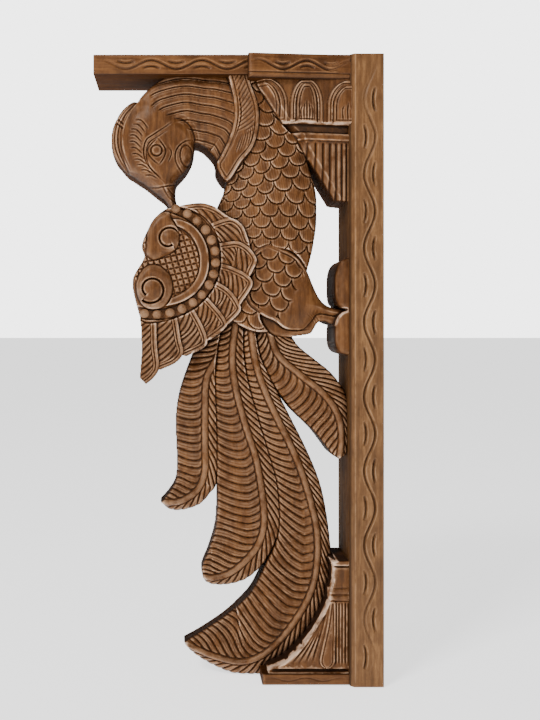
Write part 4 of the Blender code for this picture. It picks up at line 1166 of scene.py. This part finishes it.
def bead_tree(material):
    """Geometry nodes that set flattened beads along part of an ellipse."""
    tree = bpy.data.node_groups.new("bead row", "GeometryNodeTree")
    tree.interface.new_socket("Geometry", in_out="OUTPUT", socket_type="NodeSocketGeometry")
    inputs = (
        ("Beads", "Int"),
        ("Bead Radius", "Float"),
        ("Bead Height", "Float"),
        ("Middle", "Vector"),
        ("Reach Across", "Float"),
        ("Reach Up", "Float"),
        ("First Angle", "Float"),
        ("Last Angle", "Float"),
        ("Uneven", "Float"),
        ("Seed", "Int"),
    )
    for name, kind in inputs:
        tree.interface.new_socket(name, in_out="INPUT", socket_type="NodeSocket" + kind)
    given = tree.nodes.new("NodeGroupInput").outputs

    def vector(across, deep, up):
        return add_node(tree, "ShaderNodeCombineXYZ", {"X": across, "Y": deep, "Z": up}).outputs[0]

    number = tree.nodes.new("GeometryNodeInputIndex").outputs[0]
    share = maths(tree, "DIVIDE", number, maths(tree, "SUBTRACT", given["Beads"], 1))
    turn = maths(tree, "MULTIPLY", share, maths(tree, "SUBTRACT", given["Last Angle"], given["First Angle"]))
    angle = maths(tree, "ADD", given["First Angle"], turn)
    across = maths(tree, "MULTIPLY", given["Reach Across"], maths(tree, "COSINE", angle))
    up = maths(tree, "MULTIPLY", given["Reach Up"], maths(tree, "SINE", angle))
    at = add_node(tree, "ShaderNodeVectorMath", {0: vector(across, 0.0, up), 1: given["Middle"]}).outputs[0]
    row = add_node(tree, "GeometryNodeMeshLine", {"Count": given["Beads"]}).outputs[0]
    row = add_node(tree, "GeometryNodeSetPosition", {"Geometry": row, "Position": at}).outputs[0]
    ball = {"Segments": 28, "Rings": 16, "Radius": given["Bead Radius"]}
    bead = add_node(tree, "GeometryNodeMeshUVSphere", ball).outputs["Mesh"]
    flat = vector(1.0, maths(tree, "DIVIDE", given["Bead Height"], given["Bead Radius"]), 1.0)
    bead = add_node(tree, "GeometryNodeTransform", {"Geometry": bead, "Scale": flat}).outputs[0]
    least = maths(tree, "SUBTRACT", 1.0, given["Uneven"])
    most = maths(tree, "ADD", 1.0, given["Uneven"])
    spans = {"Seed": given["Seed"], 0: vector(least, least, least), 1: vector(most, most, most)}
    size = add_node(tree, "FunctionNodeRandomValue", spans, data_type="FLOAT_VECTOR").outputs[0]
    beads = {"Points": row, "Instance": bead, "Scale": size}
    result = add_node(tree, "GeometryNodeInstanceOnPoints", beads).outputs[0]
    result = add_node(tree, "GeometryNodeRealizeInstances", {0: result}).outputs[0]
    result = add_node(tree, "GeometryNodeSetShadeSmooth", {0: result}).outputs[0]
    result = add_node(tree, "GeometryNodeSetMaterial", {0: result, "Material": material}).outputs[0]
    add_node(tree, "NodeGroupOutput", {0: result})
    return tree


def bead_row(material):
    """The beads round the wing's shoulder, as one plain mesh."""
    middle_across, middle_up, reach_across, reach_up = BEAD_RING
    sizes = {
        "Beads": BEADS,
        "Bead Radius": BEAD_RADIUS * UNIT,
        "Bead Height": BEAD_HEIGHT * UNIT,
        "Middle": tuple(CARVED_PLACE(*np.array([[middle_across], [middle_up], [BEAD_FRONT]]))[0]),
        "Reach Across": reach_across * UNIT,
        "Reach Up": reach_up * UNIT,
        "First Angle": math.radians(BEAD_ANGLES[0]),
        "Last Angle": math.radians(BEAD_ANGLES[1]),
        "Uneven": 0.07,
        "Seed": SEED,
    }
    holder = add_object("holder", bpy.data.meshes.new("holder"))
    made = holder.modifiers.new("beads", "NODES")
    made.node_group = bead_tree(material)
    for socket in made.node_group.interface.items_tree:
        if socket.in_out == "INPUT":
            made[socket.identifier] = sizes[socket.name]
    mesh = plain_mesh(holder, made, "bead_row")
    # The beads' hollow value gives them the finish's wear together with a painted highlight
    add_values(mesh, "hollow", np.full(len(mesh.vertices), BEAD_WEAR_AND_HIGHLIGHT))
    return add_piece(mesh, material)


class Finish:
    """A procedural wood finish in the making."""

    def __init__(self, name):
        self.material = bpy.data.materials.new(name)
        self.material.use_nodes = True
        self.tree = self.material.node_tree
        self.shader = self.tree.nodes["Principled BSDF"]
        self.at = self.tree.nodes.new("ShaderNodeTexCoord").outputs["Object"]

    def give(self, name, value):
        """Join an output to one of the shader's inputs."""
        self.tree.links.new(value, self.shader.inputs[name])

    def noise(self, stretch, scale, detail, roughness, distortion=0.0):
        """Noise on the piece's own coordinates, stretched along an axis."""
        mapping = add_node(self.tree, "ShaderNodeMapping", {"Vector": self.at, "Scale": stretch})
        given = {"Vector": mapping.outputs[0], "Scale": scale, "Detail": detail, "Roughness": roughness}
        given["Distortion"] = distortion
        return add_node(self.tree, "ShaderNodeTexNoise", given).outputs["Fac"]

    def ramp(self, value, stops):
        """Colours by value."""
        node = add_node(self.tree, "ShaderNodeValToRGB", {"Fac": value})
        while len(node.color_ramp.elements) < len(stops):
            node.color_ramp.elements.new(0.5)
        for element, (position, colour) in zip(node.color_ramp.elements, stops):
            element.position = position
            element.color = (*colour, 1)
        return node.outputs["Color"]

    def between(self, value, low, high, bottom=0.0, top=1.0):
        """A value from one range spread over another, and held at its ends."""
        given = {"Value": value, "From Min": low, "From Max": high, "To Min": bottom, "To Max": top}
        node = add_node(self.tree, "ShaderNodeMapRange", given, interpolation_type="SMOOTHSTEP")
        return node.outputs["Result"]

    def attribute(self, name):
        """A value carried by the mesh's own points."""
        return add_node(self.tree, "ShaderNodeAttribute", attribute_name=name).outputs["Fac"]

    def mixed(self, below, colour, share):
        """A colour laid over what is below."""
        given = {0: share, 6: below, 7: (*colour, 1)}
        return add_node(self.tree, "ShaderNodeMix", given, data_type="RGBA").outputs[2]

    def times(self, first, second):
        """One value times another."""
        return maths(self.tree, "MULTIPLY", first, second)

    def plus(self, first, second):
        """One value added to another."""
        return maths(self.tree, "ADD", first, second)


def stained_wood(name, grain, dark, middle, light, stain_and_shade_colour, wear_and_highlight_colour, pale_highlight_colour):
    """Stained carving wood: streaks along the grain, stain patches, dark stain with painted shade in the
    cuts, painted shade in broad recesses and on the sides, and wear with a painted highlight on the ridges.
    """
    finish = Finish(name)
    times, plus, between = finish.times, finish.plus, finish.between
    stretch = {"X": (GRAIN_STRETCH, 1, 1), "Z": (1, 1, GRAIN_STRETCH)}[grain]
    streaks = finish.noise(stretch, 330, 5, 0.62, 0.5)
    bands = finish.noise(stretch, 70, 4, 0.55, 0.9)
    mottle = finish.noise((1, 1, 0.5), 150, 5, 0.7)
    value = plus(plus(times(streaks, 0.45), times(bands, 0.35)), times(mottle, 0.30))
    colour = finish.ramp(value, [(0.40, dark), (0.55, middle), (0.70, light)])

    hollow, deep, side = finish.attribute("hollow"), finish.attribute("deep"), finish.attribute("side")
    patch = finish.noise((1, 1, 1), 90, 4, 0.6)
    stain = finish.noise((1, 1, 0.4), 24, 6, 0.65, 0.6)
    # Wear on the ridges together with a painted highlight
    wear_and_highlight = times(between(hollow, 0.0, -0.5), between(patch, 0.28, 0.60))
    # A paler painted highlight on the highest ridges
    ridge_highlight = times(between(hollow, -0.35, -1.0), between(patch, 0.34, 0.60))
    # Over the grain: stain patches, wear with a painted highlight, painted shade in broad recesses, dark
    # stain with painted shade in the cuts, a paler painted highlight on the highest ridges, and painted shade
    # on the sides and back
    for over, share in (
        (stain_and_shade_colour, times(between(stain, 0.50, 0.72), 0.45)),
        (wear_and_highlight_colour, times(wear_and_highlight, 0.80)),
        (stain_and_shade_colour, times(between(deep, 1.2, 7.0), 0.55)),
        (stain_and_shade_colour, times(between(hollow, 0.06, 0.55), 0.88)),
        (pale_highlight_colour, times(ridge_highlight, 0.8)),
        (stain_and_shade_colour, times(side, 0.50)),
    ):
        colour = finish.mixed(colour, over, share)
    finish.give("Base Color", colour)

    rough = plus(between(streaks, 0.3, 0.7, 0.36, 0.52), between(hollow, 0.1, 0.6, 0.0, 0.18))
    finish.give("Roughness", plus(rough, times(side, 0.35)))
    finish.give("Specular IOR Level", between(side, 0.0, 1.0, 0.30, 0.02))
    finish.shader.inputs["Specular Tint"].default_value = (1.0, 0.78, 0.60, 1.0)
    pores = finish.noise(stretch, 1200, 3, 0.6)
    relief = {"Height": plus(times(streaks, 0.7), times(pores, 0.3)), "Strength": 0.55, "Distance": 0.0006}
    finish.give("Normal", add_node(finish.tree, "ShaderNodeBump", relief).outputs["Normal"])
    return finish.material


def plain_finish(name, colour, roughness, glow):
    """A plain matt finish that also gives a little light of its own."""
    finish = Finish(name)
    for socket, value in (
        ("Base Color", (*colour, 1)),
        ("Roughness", roughness),
        ("Emission Color", (1, 1, 1, 1)),
        ("Emission Strength", glow),
    ):
        finish.shader.inputs[socket].default_value = value
    return finish.material


def studio():
    """A plain pale floor, soft light, and the camera."""
    reach, level = FLOOR_REACH, LOW[2] - FLOOR_DROP
    corners = [(-reach, -reach, level), (reach, -reach, level), (reach, reach, level), (-reach, reach, level)]
    floor_mesh = bpy.data.meshes.new("floor")
    floor_mesh.from_pydata(corners, [], [(0, 1, 2, 3)])
    floor_mesh.materials.append(plain_finish("pale floor", (0.9, 0.9, 0.9), 0.9, FLOOR_GLOW))
    floor = add_object("floor", floor_mesh)

    world = bpy.data.worlds.new("soft studio")
    world.use_nodes = True
    tree = world.node_tree
    lighting = tree.nodes["Background"]
    backdrop = tree.nodes.new("ShaderNodeBackground")
    for node, strength in ((lighting, WORLD_LIGHT), (backdrop, BACKDROP_LIGHT)):
        node.inputs["Color"].default_value = (1, 1, 1, 1)
        node.inputs["Strength"].default_value = strength
    from_camera = tree.nodes.new("ShaderNodeLightPath").outputs["Is Camera Ray"]
    either = {0: from_camera, 1: lighting.outputs[0], 2: backdrop.outputs[0]}
    seen = add_node(tree, "ShaderNodeMixShader", either).outputs[0]
    tree.links.new(seen, tree.nodes["World Output"].inputs["Surface"])
    bpy.context.scene.world = world

    for name, (place, size, power) in LIGHTS.items():
        light = bpy.data.lights.new(name, "AREA")
        light.energy = power
        light.size = size
        lamp = add_object(name, light)
        lamp.location = place
        aim = mathutils.Vector(LIGHTS_AIM) - mathutils.Vector(place)
        lamp.rotation_euler = aim.to_track_quat("-Z", "Y").to_euler()

    view = bpy.data.cameras.new("camera")
    view.sensor_fit = "AUTO"
    view.sensor_width = 36
    view.lens = CAMERA_LENS
    view.shift_x, view.shift_y = CAMERA_SHIFT
    camera = add_object("camera", view)
    camera.location = CAMERA_PLACE
    camera.rotation_euler = (math.pi / 2, 0, 0)
    bpy.context.scene.camera = camera


def main():
    # Each finish's last three colours are dark stain with painted shade, wear with a painted highlight, and a
    # pale painted highlight
    carved = stained_wood(
        "stained carving",
        "Z",
        dark=(0.044, 0.0142, 0.0034),
        middle=(0.093, 0.0330, 0.0086),
        light=(0.178, 0.072, 0.0215),
        stain_and_shade_colour=(0.0114, 0.0032, 0.0009),
        wear_and_highlight_colour=(0.43, 0.250, 0.140),
        pale_highlight_colour=(0.80, 0.56, 0.40),
    )
    upright = stained_wood(
        "stained post",
        "Z",
        dark=(0.075, 0.0315, 0.0112),
        middle=(0.134, 0.060, 0.0220),
        light=(0.265, 0.130, 0.0500),
        stain_and_shade_colour=(0.02, 0.007, 0.0018),
        wear_and_highlight_colour=(0.42, 0.240, 0.120),
        pale_highlight_colour=(0.50, 0.31, 0.18),
    )
    level = stained_wood(
        "stained beam",
        "X",
        dark=(0.045, 0.0145, 0.0034),
        middle=(0.082, 0.0285, 0.0074),
        light=(0.158, 0.062, 0.0175),
        stain_and_shade_colour=(0.0115, 0.0029, 0.0006),
        wear_and_highlight_colour=(0.33, 0.155, 0.062),
        pale_highlight_colour=(0.40, 0.22, 0.11),
    )
    pieces = carving(carved)
    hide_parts("peacock_corbel")
    bead_row(carved)
    post(upright)
    beam(level)
    abacus(level)
    plate(level)
    studio()


main()
